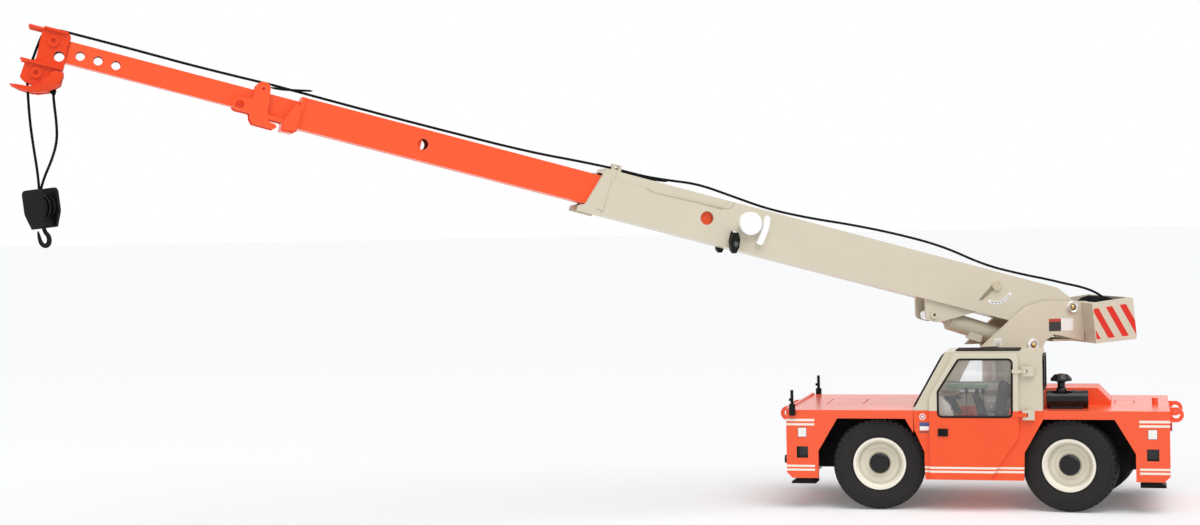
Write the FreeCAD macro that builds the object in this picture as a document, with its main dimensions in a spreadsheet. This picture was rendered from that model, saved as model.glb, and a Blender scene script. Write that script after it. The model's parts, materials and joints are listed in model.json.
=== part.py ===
import FreeCAD, Part
import math
import os

import Sketcher

# Scale model of a carry deck crane. Front is -X, the cab's side is -Y, the floor is Z = 0, sizes are in mm.
# The chassis frame lies midway between the axles; the model's origin is under the middle of the whole model.
# The turret has its own frame: X forward from the slew axis, Y towards its left side.
# The boom has its own frame at its pivot pin: X towards the tip, Y towards its left side.

SIZES = {
    # where the chassis stands from the model's origin
    "chassis_back": 90.41,
    "chassis_aside": 54.8,
    # chassis
    "end_block": 6.5,
    "body_half_width": 24.4,
    "deck_height": 28.8,
    "deck_thickness": 1.2,
    "sill_height": 9.1,
    "side_plate": 1.2,
    "corner_cut": 1.6,
    "wheelbase": 58.0,
    "arch_height": 26.4,
    "arch_knee": 16.9,
    "arch_half_top": 9.7,
    "arch_half_bottom": 15.3,
    "well_half_length": 18.0,
    "front_lip": 0.5,
    "spine_half_width": 6.5,
    "spine_bottom": 17.0,
    "lug_height": 26.4,
    "lug_radius": 2.1,
    "lug_reach": 1.9,
    "lug_hole": 1.05,
    "lug_thickness": 1.2,
    "lug_spread": 9.5,
    "socket_half": 1.65,
    "socket_height": 16.6,
    "socket_depth": 2.4,
    "groove": 0.35,
    "cap_radius": 0.9,
    # running gear
    "tyre_radius": 13.2,
    "tyre_width": 8.6,
    "rim_radius": 7.5,
    "rim_wall": 0.7,
    "rim_dish": 2.6,
    "rim_inset": 0.5,
    "hub_radius": 2.9,
    "track_half": 18.6,
    "front_steer_angle": 5.3,
    "rear_steer_angle": 7.6,
    "kingpin_radius": 2.0,
    "stub_radius": 1.4,
    "running_gap": 0.05,
    "jack_half": 1.3,
    "jack_inset": 4.6,
    "jack_spread": 19.3,
    "jack_reach": 21.5,
    "jack_foot": 7.3,
    "foot_half": 3.5,
    "foot_height": 1.5,
    # cab
    "cab_front": 16.9,
    "cab_brow": 7.5,
    "cab_rear": 19.2,
    "cab_inner": 9.8,
    "cab_height": 45.5,
    "roof_thickness": 0.8,
    "cab_wall": 1.0,
    "tub_half_length": 10.8,
    "panel_gap": 0.05,
    "glass_thickness": 0.4,
    "door_front": 12.3,
    "door_rear": 12.6,
    "door_top_gap": 0.3,
    "door_thickness": 0.9,
    "door_rim": 1.3,
    "door_corner": 1.0,
    "window_corner": 1.2,
    "hinge_along": 14.2,
    "hinge_aside": 0.9,
    "hinge_pin": 0.37,
    "hinge_half_height": 1.4,
    "hinge_tongue": 0.5,
    "upper_hinge_drop": 5.5,
    "lower_hinge_drop": 1.1,
    # deck fittings
    "hood_rise": 4.9,
    "cleaner_radius": 2.45,
    "cleaner_offset": 17.2,
    "stake_rise": 5.8,
    "stake_radius": 0.9,
    # slewing upper works
    "slew_offset": 9.0,
    "slew_heading": 28.6,
    "pedestal_radius": 8.2,
    "race_radius": 9.0,
    "race_rise": 14.0,
    "turret_disc": 1.2,
    "spigot_radius": 4.0,
    "turret_plate": 1.2,
    "turret_half_inner": 5.5,
    "pivot_back": 16.64,
    "pivot_rise": 12.48,
    "pivot_pin": 0.9,
    "washer_radius": 1.7,
    "washer_thickness": 0.5,
    "weight_half_width": 13.3,
    "weight_wall": 1.2,
    "drum_radius": 3.9,
    "drum_back": 28.0,
    "drum_rise": 10.6,
    # lift cylinder
    "lift_base_back": 4.02,
    "lift_base_rise": 1.9,
    "lift_pin": 0.9,
    "barrel_radius": 2.7,
    "barrel_neck": 8.0,
    "barrel_length": 24.5,
    "rod_radius": 1.2,
    # boom
    "boom_elevation": 15.3,
    "bracket_along": 40.49,
    "bracket_drop": 12.03,
    "bracket_half_gap": 3.1,
    "bracket_plate": 1.1,
    "base_length": 146.0,
    "base_top": 4.55,
    "base_bottom": 8.2,
    "base_half_width": 5.2,
    "base_wall": 0.9,
    "collar_depth": 0.35,
    "guide_height": 1.3,
    "guide_hole": 0.6,
    "base_hole": 1.9,
    "mid_top": 2.35,
    "mid_bottom": 6.2,
    "mid_half_width": 3.9,
    "mid_wall": 0.7,
    "mid_overlap": 41.0,
    "mid_reach": 83.5,
    "mid_hole": 1.5,
    "arm_hole": 1.2,
    "fly_top": 1.0,
    "fly_bottom": 4.72,
    "fly_half_width": 2.8,
    "fly_wall": 0.6,
    "fly_overlap": 33.5,
    "fly_hole": 1.2,
    "fly_reach": 61.7,
    "slide_gap": 0.15,
    "head_plate": 0.8,
    "upper_sheave_ahead": 4.1,
    "upper_sheave_radius": 3.0,
    "lower_sheave_ahead": 6.36,
    "lower_sheave_drop": 9.11,
    "lower_sheave_radius": 2.1,
    "sheave_half_width": 0.9,
    "axle_boss": 1.5,
    "pin_hole": 1.35,
    # hoist line and hook
    "line_radius": 0.32,
    "block_top": 96.2,
    "block_height": 10.3,
    "block_half_width": 3.4,
    "block_cheek": 0.9,
    "block_half_gap": 2.3,
    "block_turn": -45.0,
    "block_lean": 6.0,
    "hook_thickness": 1.3,
}

doc = FreeCAD.newDocument("CarryDeckCrane")
sheet = doc.addObject("Spreadsheet::Sheet", "Sizes")
parts = []


class Size:
    """A length or angle: its value now, and the expression that keeps it bound to the sheet."""

    def __init__(self, value, text):
        self.value = value
        self.text = text

    def __add__(self, other):
        other = size(other)
        return Size(self.value + other.value, f"({self.text} + {other.text})")

    def __sub__(self, other):
        other = size(other)
        return Size(self.value - other.value, f"({self.text} - {other.text})")

    def __mul__(self, other):
        other = size(other)
        return Size(self.value * other.value, f"({self.text} * {other.text})")

    def __truediv__(self, other):
        other = size(other)
        return Size(self.value / other.value, f"({self.text} / {other.text})")

    def __radd__(self, other):
        return size(other) + self

    def __rsub__(self, other):
        return size(other) - self

    def __rmul__(self, other):
        return size(other) * self

    def __neg__(self):
        return Size(-self.value, f"(-{self.text})")


def size(number):
    if isinstance(number, Size):
        return number
    return Size(float(number), repr(float(number)))


class Dimensions:
    """The sheet's cells by name."""


dim = Dimensions()
for row, (alias, number) in enumerate(SIZES.items(), start=1):
    sheet.set(f"A{row}", alias)
    sheet.set(f"B{row}", repr(number))
    sheet.setAlias(f"B{row}", alias)
    setattr(dim, alias, Size(number, f"Sizes.{alias}"))
doc.recompute()


def bind(thing, prop, number):
    number = size(number)
    thing.setExpression(prop, number.text)


def triple(x, y, z):
    return f"vector({size(x).text}; {size(y).text}; {size(z).text})"


seats = {}


def put(thing, x, y, z, axis="1;0;0", angle=0):
    """Set a piece at a point, turned about an axis."""
    seats[thing.Name] = f"placement({triple(x, y, z)}; rotation(vector({axis}); {size(angle).text}))"
    thing.setExpression("Placement", seats[thing.Name])


def frame(name, parent, x, y, z, axis, angle):
    """A coordinate frame carried by a parent frame."""
    made = doc.addObject("App::Placement", name)
    step = f"placement({triple(x, y, z)}; rotation(vector({axis}); {size(angle).text}))"
    made.setExpression("Placement", f"{parent.Name}.Placement * {step}" if parent else step)
    return made


def finish(thing, label, carrier):
    """Name a sub-part, set it in its frame and list it for export."""
    thing.Label = label
    seat = seats.get(thing.Name)
    thing.setExpression("Placement", f"{carrier.Name}.Placement" + (f" * {seat}" if seat else ""))
    parts.append(thing)
    return thing


# ---- primitives


def box(name, x0, x1, y0, y1, z0, z1):
    made = doc.addObject("Part::Box", name)
    bind(made, "Length", size(x1) - x0)
    bind(made, "Width", size(y1) - y0)
    bind(made, "Height", size(z1) - z0)
    put(made, x0, y0, z0)
    return made


TURN = {"X": ("0;1;0", 90), "Y": ("1;0;0", -90), "Z": ("0;0;1", 0)}


def rod(name, axis, radius, start, end, x=0, y=0, z=0):
    """A cylinder along an axis from start to end; x, y, z place its centre line."""
    made = doc.addObject("Part::Cylinder", name)
    bind(made, "Radius", radius)
    bind(made, "Height", size(end) - start)
    centre = {"X": x, "Y": y, "Z": z}
    centre[axis] = start
    put(made, centre["X"], centre["Y"], centre["Z"], *TURN[axis])
    return made


def fuse(name, *pieces):
    made = doc.addObject("Part::MultiFuse", name)
    made.Shapes = list(pieces)
    made.Refine = True
    return made


def cut(name, base, *tools):
    made = doc.addObject("Part::Cut", name)
    made.Base = base
    made.Tool = tools[0] if len(tools) == 1 else fuse(name + "Tools", *tools)
    made.Refine = True
    return made


# ---- sketched bodies

NORMAL = {"XY": 1, "XZ": -1, "YZ": 1}


def sketch_on(body, plane, offset):
    sketch = body.newObject("Sketcher::SketchObject", body.Name + "Sketch")
    origin = [f for f in body.Origin.OriginFeatures if f.Role == plane + "_Plane"][0]
    sketch.AttachmentSupport = [(origin, "")]
    sketch.MapMode = "FlatFace"
    bind(sketch, "AttachmentOffset.Base.z", size(offset) * NORMAL[plane])
    return sketch


def pin_point(sketch, geometry, vertex, x, y):
    for kind, number in (("DistanceX", size(x)), ("DistanceY", size(y))):
        row = sketch.addConstraint(Sketcher.Constraint(kind, -1, 1, geometry, vertex, number.value))
        if "Sizes" in number.text:
            sketch.setExpression(f"Constraints[{row}]", number.text)


def draw_loop(sketch, points):
    """A closed outline of straight lines through the given corners."""
    corners = [FreeCAD.Vector(size(x).value, size(y).value, 0) for x, y in points]
    first = sketch.GeometryCount
    count = len(corners)
    for i in range(count):
        sketch.addGeometry(Part.LineSegment(corners[i], corners[(i + 1) % count]), False)
    for i in range(count):
        following = first + (i + 1) % count
        sketch.addConstraint(Sketcher.Constraint("Coincident", first + i, 2, following, 1))
    for i, (x, y) in enumerate(points):
        pin_point(sketch, first + i, 1, x, y)


def draw_circle(sketch, x, y, radius):
    centre = FreeCAD.Vector(size(x).value, size(y).value, 0)
    ring = sketch.addGeometry(Part.Circle(centre, FreeCAD.Vector(0, 0, 1), size(radius).value), False)
    pin_point(sketch, ring, 3, x, y)
    row = sketch.addConstraint(Sketcher.Constraint("Radius", ring, size(radius).value))
    if "Sizes" in size(radius).text:
        sketch.setExpression(f"Constraints[{row}]", size(radius).text)


def prism(name, plane, points, start, end, holes=()):
    """An outline padded along the plane's normal axis, from start to end on that axis."""
    body = doc.addObject("PartDesign::Body", name)
    sketch = sketch_on(body, plane, start if NORMAL[plane] > 0 else end)
    draw_loop(sketch, points)
    for hole in holes:
        draw_circle(sketch, *hole)
    pad = body.newObject("PartDesign::Pad", name + "Pad")
    pad.Profile = sketch
    bind(pad, "Length", size(end) - start)
    sketch.Visibility = False
    doc.recompute()
    return body


def pocket(body, plane, points, start, end, circles=()):
    """Cut an outline or circles out of a body between start and end on the plane's normal axis."""
    sketch = sketch_on(body, plane, end if NORMAL[plane] > 0 else start)
    if points:
        draw_loop(sketch, points)
    for circle in circles:
        draw_circle(sketch, *circle)
    made = body.newObject("PartDesign::Pocket", body.Name + "Pocket")
    made.Profile = sketch
    bind(made, "Length", size(end) - start)
    sketch.Visibility = False
    doc.recompute()
    return body


def turned(name, points):
    """A profile of (radius, height) corners revolved about Z."""
    body = doc.addObject("PartDesign::Body", name)
    sketch = sketch_on(body, "XZ", 0)
    draw_loop(sketch, points)
    made = body.newObject("PartDesign::Revolution", name + "Turn")
    made.Profile = sketch
    made.ReferenceAxis = (sketch, ["V_Axis"])
    made.Angle = 360
    sketch.Visibility = False
    doc.recompute()
    return body


def round_corners(body, plane, corners, radius):
    """Fillet the edges that run along the plane's normal through the given corners."""
    keep = {"XY": (0, 1), "XZ": (0, 2), "YZ": (1, 2)}[plane]
    feature = body.Tip
    names = []
    for number, edge in enumerate(feature.Shape.Edges, start=1):
        ends = [v.Point for v in edge.Vertexes]
        for x, y in corners:
            target = (size(x).value, size(y).value)
            if len(ends) == 2 and all(abs(p[keep[k]] - target[k]) < 1e-4 for p in ends for k in (0, 1)):
                names.append(f"Edge{number}")
    made = body.newObject("PartDesign::Fillet", body.Name + "Round")
    made.Base = (feature, names)
    bind(made, "Radius", radius)
    doc.recompute()
    return body


# ---- frames

half_base = dim.wheelbase / 2
body_end = half_base + dim.well_half_length + dim.end_block
jack_station = body_end - dim.jack_inset
race_height = dim.deck_height + dim.race_rise
turret_floor = race_height + dim.turret_disc
pivot_height = turret_floor + dim.pivot_rise
lift_base_height = turret_floor + dim.lift_base_rise
drum_height = turret_floor + dim.drum_rise
chassis_frame = frame("ChassisFrame", None, dim.chassis_back, dim.chassis_aside, 0, "0;0;1", 0)
front_axle_frame = frame(
    "FrontAxleFrame", chassis_frame, -half_base, 0, dim.tyre_radius, "0;0;1", dim.front_steer_angle
)
rear_axle_frame = frame(
    "RearAxleFrame", chassis_frame, half_base, 0, dim.tyre_radius, "0;0;1", -dim.rear_steer_angle
)
turret_frame = frame("TurretFrame", chassis_frame, dim.slew_offset, 0, 0, "0;0;1", dim.slew_heading + 180)
boom_frame = frame(
    "BoomFrame", turret_frame, -dim.pivot_back, 0, pivot_height, "0;1;0", -dim.boom_elevation
)


# ---- chassis


def side_outline(half_top, half_bottom, top, knee):
    """The chassis side, open below each axle."""
    end = body_end
    sill = dim.sill_height
    chamfer = dim.corner_cut
    points = [
        (-end, sill + chamfer),
        (-end, dim.deck_height),
        (end, dim.deck_height),
        (end, sill + chamfer),
        (end - chamfer, sill),
    ]
    for axle in (half_base, -half_base):
        points += [
            (axle + half_bottom, sill),
            (axle + half_bottom, knee),
            (axle + half_top, top),
            (axle - half_top, top),
            (axle - half_bottom, knee),
            (axle - half_bottom, sill),
        ]
    points.append((-end + chamfer, sill))
    return points


def lug(name, side, across):
    """A tie-down eye: a plate with a round end standing out of the chassis end."""
    centre = (body_end + dim.lug_reach) * side
    face = body_end * side
    low = dim.lug_height - dim.lug_radius
    high = dim.lug_height + dim.lug_radius
    near = across - dim.lug_thickness / 2
    far = across + dim.lug_thickness / 2
    x0, x1 = (face, centre) if side > 0 else (centre, face)
    web = box(name + "Web", x0, x1, near, far, low, high)
    eye = rod(name + "Eye", "Y", dim.lug_radius, near, far, x=centre, z=dim.lug_height)
    hole = rod(name + "Hole", "Y", dim.lug_hole, near - 1, far + 1, x=centre, z=dim.lug_height)
    return cut(name, fuse(name + "Plate", web, eye), hole)


def groove(name, x0, x1, y0, y1):
    """A square groove round a deck hatch."""
    wide = dim.groove
    top = dim.deck_height + 1
    low = dim.deck_height - wide
    outer = box(name + "Outer", x0, x1, y0, y1, low, top)
    inner = box(name + "Inner", x0 + wide, x1 - wide, y0 + wide, y1 - wide, low - 1, top + 1)
    return cut(name, outer, inner)


def chassis():
    inner = dim.body_half_width - dim.side_plate
    ceiling = dim.deck_height - dim.deck_thickness
    well = dim.well_half_length
    core = prism("ChassisCore", "XZ", side_outline(well, well + 0.001, ceiling, dim.arch_knee), -inner, inner)
    plates = []
    for name, y0, y1 in (("Near", -dim.body_half_width, -inner), ("Far", inner, dim.body_half_width)):
        outline = side_outline(dim.arch_half_top, dim.arch_half_bottom, dim.arch_height, dim.arch_knee)
        plates.append(prism("Side" + name, "XZ", outline, y0, y1))
    lugs = []
    for end, side in (("Front", -1), ("Rear", 1)):
        for hand, across in (("Left", -dim.lug_spread), ("Right", dim.lug_spread)):
            lugs.append(lug("Lug" + end + hand, side, across))
    lip = box(
        "FrontLip", -body_end, -body_end + 0.8, -dim.body_half_width,
        dim.body_half_width, dim.deck_height, dim.deck_height + dim.front_lip,
    )
    filler = rod(
        "FillerCap", "Z", dim.cap_radius, dim.deck_height, dim.deck_height + 2 * dim.cap_radius,
        x=body_end - 3.8, y=-2.9,
    )
    gap = dim.panel_gap
    notch = box(
        "CabNotch", -dim.cab_front - gap, dim.cab_rear + gap, -dim.body_half_width - 1,
        -dim.cab_inner + gap, dim.sill_height - 1, dim.deck_height + 1,
    )
    channel = box(
        "SpineChannel", -half_base - well, half_base + well, -dim.spine_half_width,
        dim.spine_half_width, dim.spine_bottom, ceiling,
    )
    tools = [
        notch,
        channel,
        groove("FrontHatch", -body_end + 9.0, -body_end + 20.0, -6.4, 9.0),
        groove("RearHatch", body_end - 15.2, body_end - 9.5, -dim.spine_half_width, dim.spine_half_width),
    ]
    for end, side in (("Front", -1), ("Rear", 1)):
        for hand, across in (("Left", -dim.jack_spread), ("Right", dim.jack_spread)):
            x = jack_station * side
            half = dim.jack_half + dim.running_gap
            tools.append(
                box(
                    "JackBore" + end + hand, x - half, x + half, across - half, across + half,
                    dim.sill_height - 1, dim.jack_reach + 1.5,
                )
            )
            face = dim.body_half_width * (1 if hand == "Right" else -1)
            depth = dim.socket_depth
            y0, y1 = (face - depth, face + 1) if hand == "Right" else (face - 1, face + depth)
            socket = dim.socket_half
            tools.append(
                box(
                    "Socket" + end + hand, x - socket, x + socket, y0, y1,
                    dim.socket_height - socket, dim.socket_height + socket,
                )
            )
    blank = fuse("ChassisBlank", core, *plates, *lugs, lip, filler)
    finish(cut("Chassis", blank, *tools), "chassis_frame", chassis_frame)


def underframe():
    end = half_base + dim.well_half_length
    ceiling = dim.deck_height - dim.deck_thickness
    spine = box(
        "Spine", -end, end, -dim.spine_half_width, dim.spine_half_width, dim.spine_bottom, ceiling
    )
    bores = [
        rod(
            "KingBore" + name, "Z", dim.kingpin_radius + dim.running_gap, dim.spine_bottom - 1, 24.0, x=x
        )
        for name, x in (("Front", -half_base), ("Rear", half_base))
    ]
    blocks = []
    for name, x0, x1 in (("Front", -end, -end + 4.6), ("Rear", end - 4.6, end)):
        blocks.append(box("EndBox" + name, x0, x1, -8.0, 8.0, dim.sill_height + 1.4, dim.spine_bottom + 1.0))
    blank = fuse("UnderframeBlank", spine, *blocks)
    finish(cut("Underframe", blank, *bores), "underframe", chassis_frame)


def axle(name, label, carrier):
    """Beam, kingpin and stub shafts in one piece, turning about the kingpin."""
    seat = dim.spine_bottom - dim.tyre_radius - dim.running_gap
    beam = box(name + "Beam", -2.4, 2.4, -13.4, 13.4, -2.6, 2.4)
    boss = rod(name + "Boss", "Z", 3.4, 2.0, seat)
    pin = rod(name + "Pin", "Z", dim.kingpin_radius, 1.0, seat + 6.5)
    stub = rod(name + "Stub", "Y", dim.stub_radius, -dim.track_half - 1.0, dim.track_half + 1.0)
    finish(fuse(name, beam, boss, pin, stub), label, carrier)


def wheel(name, label, carrier):
    half = dim.tyre_width / 2
    tread = dim.tyre_radius
    rim = dim.rim_radius
    tyre = turned(
        name + "Tyre",
        [
            (rim, -half), (tread, -half), (tread, half - 1.0), (tread - 0.9, half), (rim, half),
        ],
    )
    finish(tyre, label + "_tyre", carrier)
    lip = half - dim.rim_inset
    bead = rim - dim.rim_wall
    flange = lip - dim.rim_dish
    hub = dim.hub_radius
    bore = dim.stub_radius + dim.running_gap
    disc = turned(
        name + "Rim",
        [
            (bore, -3.0), (hub, -3.0), (hub, flange - 1.2), (bead, flange - 1.2), (bead, -lip), (rim, -lip),
            (rim, lip), (bead, lip), (bead - 0.9, flange + 0.6), (hub + 2.4, flange), (hub + 0.5, flange),
            (hub + 0.3, 1.7), (0, 1.7), (0, 1.3), (bore, 1.3),
        ],
    )
    finish(disc, label + "_rim", carrier)
    cap = turned(name + "Cap", [(0, 1.7), (hub, 1.7), (hub, 2.6), (hub - 0.5, 3.0), (0, 3.0)])
    finish(cap, label + "_hub_cap", carrier)


def running_gear():
    axle("FrontAxle", "front_axle", front_axle_frame)
    axle("RearAxle", "rear_axle", rear_axle_frame)
    for end, carrier in (("front", front_axle_frame), ("rear", rear_axle_frame)):
        for hand, side in (("left", -1), ("right", 1)):
            name = end.title() + hand.title()
            place = frame(name + "Frame", carrier, 0, dim.track_half * side, 0, "1;0;0", -90 * side)
            wheel(name, f"{end}_{hand}", place)


def jacks():
    foot = dim.foot_half
    leg_half = dim.jack_half
    low = dim.jack_foot
    top = low + dim.foot_height
    for end, side in (("front", -1), ("rear", 1)):
        for hand, across in (("left", -dim.jack_spread), ("right", dim.jack_spread)):
            name = "Jack" + end.title() + hand.title()
            x = jack_station * side
            leg = box(
                name + "Leg", x - leg_half, x + leg_half, across - leg_half, across + leg_half,
                top - 0.5, dim.jack_reach,
            )
            pad = prism(
                name + "Pad", "XZ",
                [
                    (x - foot, low), (x + foot, low), (x + foot, top - 0.9), (x + leg_half + 0.6, top),
                    (x - leg_half - 0.6, top), (x - foot, top - 0.9),
                ],
                across - foot, across + foot,
            )
            finish(fuse(name, leg, pad), f"jack_{end}_{hand}", chassis_frame)


# ---- cab


def door_outline(inset, bottom, top):
    """The door's outline, or the opening behind it when inset, between two heights."""
    front = -dim.door_front + inset
    rear = dim.door_rear - inset
    lean = (dim.cab_front - dim.cab_brow) / (dim.cab_height - dim.deck_height)
    start = dim.deck_height + 3.6
    return [
        (front, bottom),
        (front, start),
        (front + (top - start) * lean, top),
        (rear, top),
        (rear, bottom),
    ]


def door_skirt(inset, bottom, top):
    front = -dim.door_front + inset
    rear = dim.door_rear - inset
    return [
        (front, bottom),
        (front, top),
        (rear, top),
        (rear, dim.sill_height + 12.3 + inset / 2),
        (6.9 - inset / 2, dim.sill_height + 4.2 + inset / 2),
        (4.5 - inset / 2, bottom),
    ]


def cab_tub():
    near = -dim.body_half_width
    wall = dim.cab_wall
    inner = -dim.cab_inner
    deck = dim.deck_height
    sill = dim.sill_height
    under = deck - dim.deck_thickness
    plate = near + dim.side_plate
    skirt = half_base - dim.arch_half_bottom + 0.1
    panel = prism(
        "TubPanel", "XZ",
        [
            (-dim.cab_front, deck), (-dim.cab_front + 0.2, deck - 5.5), (-skirt - 0.1, dim.arch_knee), (-skirt, sill),
            (skirt, sill), (skirt + 0.2, dim.arch_knee), (dim.cab_rear, deck - 2.6), (dim.cab_rear, deck),
        ],
        near, plate,
    )
    pocket(panel, "XZ", door_skirt(dim.door_rim, sill + 1.5, deck + 1), near - 1, plate + 1)
    half = dim.tub_half_length
    tub = box("TubBox", -half, half, plate, inner, sill, deck)
    shelf = box("TubShelf", -dim.cab_front, dim.cab_rear, plate, inner, under, deck)
    room = box("TubRoom", -half + wall, half - wall, plate - 2, inner - wall, sill + 1.2, deck + 1)
    lower = cut("TubLower", fuse("TubOuter", tub, shelf), room)
    finish(fuse("CabTub", panel, lower), "cab_tub", chassis_frame)


def cab_shell():
    near = -dim.body_half_width
    inner = -dim.cab_inner
    wall = dim.cab_wall
    deck = dim.deck_height
    corner = dim.window_corner
    eave = dim.cab_height - dim.roof_thickness
    lean = (dim.cab_front - dim.cab_brow) / (dim.cab_height - deck)
    top_x = -dim.cab_front + (eave - deck) * lean
    outline = [(-dim.cab_front, deck), (top_x, eave), (dim.cab_rear, eave), (dim.cab_rear, deck)]
    shell = prism("CabShell", "XZ", outline, near, inner)
    slope = wall * 1.15
    room = [
        (-dim.cab_front + slope - lean, deck - 1), (top_x + slope + lean, eave + 1),
        (dim.cab_rear - wall, eave + 1), (dim.cab_rear - wall, deck - 1),
    ]
    pocket(shell, "XZ", room, near + wall, inner - wall)
    pocket(shell, "XZ", door_outline(dim.door_rim, deck - 1, eave - 1.1), near - 1, near + wall + 0.5)
    low = deck + 4.2
    high = dim.cab_height - 3.0
    rear_post = dim.cab_rear - 2.7
    side_window = [(-6.5, low), (-1.5, high), (rear_post, high), (rear_post, low)]
    pocket(shell, "XZ", side_window, inner - wall - 0.5, inner + 1)
    round_corners(shell, "XZ", side_window, corner)
    low = deck + 1.8
    high = dim.cab_height - 2.1
    opening = [(near + 2.2, low), (near + 2.2, high), (inner - 2.2, high), (inner - 2.2, low)]
    pocket(shell, "YZ", opening, -dim.cab_front - 1, -6.0)
    round_corners(shell, "YZ", opening, corner)
    low = deck + 6.6
    high = dim.cab_height - 1.9
    rear = [(near + 2.2, low), (near + 2.2, high), (inner - 2.2, high), (inner - 2.2, low)]
    pocket(shell, "YZ", rear, dim.cab_rear - wall - 0.5, dim.cab_rear + 1)
    round_corners(shell, "YZ", rear, corner)
    finish(shell, "cab_shell", chassis_frame)
    crown = [(top_x, eave), (-dim.cab_brow, dim.cab_height), (dim.cab_rear, dim.cab_height), (dim.cab_rear, eave)]
    roof = prism("CabRoof", "XZ", crown, near, inner)
    hatch = [(-3.5, near + 3.5), (11.5, near + 3.5), (11.5, inner - 3.5), (-3.5, inner - 3.5)]
    pocket(roof, "XY", hatch, eave - 1, dim.cab_height + 1)
    finish(roof, "cab_roof", chassis_frame)
    glass = dim.glass_thickness
    pane = prism(
        "Windshield", "XZ",
        [
            (-dim.cab_front + 0.9 * lean, deck + 0.9), (-dim.cab_front + 0.9 * lean - glass * 1.15, deck + 0.9),
            (top_x - 0.3 * lean - glass * 1.15, eave - 0.3), (top_x - 0.3 * lean, eave - 0.3),
        ],
        near + 0.9, inner - 0.9,
    )
    finish(pane, "windshield", chassis_frame)
    rear_pane = box("RearPane", dim.cab_rear, dim.cab_rear + glass, near + 1.0, inner - 1.0,
                    deck + 5.8, dim.cab_height - 1.2)
    side_pane = box("SidePane", -7.5, rear_post + 1.0, inner, inner + glass, deck + 3.4, dim.cab_height - 2.1)
    finish(fuse("CabPanes", rear_pane, side_pane), "cab_panes", chassis_frame)
    light = box("RoofLight", -4.9, 12.9, near + 2.2, inner - 2.2, dim.cab_height, dim.cab_height + 0.3)
    finish(light, "roof_light", chassis_frame)


def door():
    near = -dim.body_half_width - dim.panel_gap
    outer = near - dim.door_thickness
    mid = dim.deck_height
    foot = dim.sill_height + 0.2
    high = dim.cab_height - 2.1
    upper_hinge = dim.cab_height - dim.upper_hinge_drop
    lower_hinge = mid - dim.lower_hinge_drop
    outline = [(-dim.door_front, foot)]
    outline += door_outline(size(0), mid, dim.cab_height - dim.door_top_gap)[1:-1]
    outline += door_skirt(size(0), foot, mid)[3:]
    panel = prism("DoorPanel", "XZ", outline, outer, near)
    round_corners(panel, "XZ", outline[2:4], dim.door_corner)
    window = [(-9.9, mid - 1.8), (-9.9, mid + 5.4), (-4.0, high), (11.0, high), (10.8, mid - 1.8)]
    pocket(panel, "XZ", window, outer - 1, near + 1)
    round_corners(panel, "XZ", window, dim.window_corner)
    pieces = [panel]
    along = dim.hinge_along
    aside = -dim.body_half_width - dim.hinge_aside
    knuckle = dim.hinge_pin + 0.4
    tongue = dim.hinge_tongue
    for name, z in (("Upper", upper_hinge), ("Lower", lower_hinge)):
        pieces.append(
            box("Strap" + name, 10.9, along, aside - dim.hinge_pin - 0.03, aside - 0.05, z - tongue, z + tongue)
        )
        pieces.append(rod("StrapEye" + name, "Z", knuckle, z - tongue, z + tongue, x=along, y=aside))
    bore = rod(
        "StrapBore", "Z", dim.hinge_pin + dim.running_gap, lower_hinge - 2, upper_hinge + 2,
        x=along, y=aside,
    )
    finish(cut("CabDoor", fuse("DoorBlank", *pieces), bore), "cab_door", chassis_frame)
    pane = prism("DoorGlass", "XZ", window, near - 0.65, near - 0.25)
    round_corners(pane, "XZ", window, dim.window_corner)
    finish(pane, "door_glass", chassis_frame)
    finish(box("DoorHandle", -9.9, -7.1, outer - 0.35, outer, 21.6, 23.7), "door_handle", chassis_frame)
    hinges = []
    half = dim.hinge_half_height
    shut = tongue + dim.running_gap
    leaf = aside - dim.hinge_pin - 0.03
    for name, z in (("Upper", upper_hinge), ("Lower", lower_hinge)):
        hinges += [
            box("HingeBase" + name, along + 1.0, along + 2.8, leaf, -dim.body_half_width, z - half, z + half),
            box("HingeTop" + name, along - 0.5, along + 1.0, leaf, aside + 0.4, z + shut, z + half),
            box("HingeFoot" + name, along - 0.5, along + 1.0, leaf, aside + 0.4, z - half, z - shut),
            rod("HingePin" + name, "Z", dim.hinge_pin, z - half, z + half, x=along, y=aside),
        ]
    finish(fuse("DoorHinges", *hinges), "door_hinges", chassis_frame)


def cab_inside():
    near = -dim.body_half_width
    inner = -dim.cab_inner
    floor = dim.sill_height + 1.2
    rest = prism(
        "SeatBack", "XZ", [(5.2, 21.0), (7.6, 21.0), (9.4, 36.0), (7.4, 36.0)], near + 3.4, inner - 3.0
    )
    round_corners(rest, "XZ", [(9.4, 36.0), (7.4, 36.0)], 0.9)
    cushion = prism(
        "SeatCushion", "XZ", [(-1.5, 19.4), (-1.5, 21.4), (-0.5, 22.4), (7.8, 21.8), (7.6, 19.4)],
        near + 3.2, inner - 2.8,
    )
    seat = fuse("SeatBlank", box("SeatBase", 0.5, 7.0, near + 4.0, inner - 3.6, floor, 19.6), cushion, rest)
    finish(seat, "seat", chassis_frame)
    console = fuse(
        "ConsoleBlank",
        box("Dash", -9.6, -6.4, near + 2.4, inner - 1.4, floor, 29.0),
        box("Column", -7.4, -5.4, near + 6.2, near + 7.8, 26.0, 31.5),
        rod("SteeringWheel", "Z", 2.6, 31.5, 32.1, x=-6.4, y=near + 7.0),
    )
    finish(console, "console", chassis_frame)


# ---- deck fittings


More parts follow.
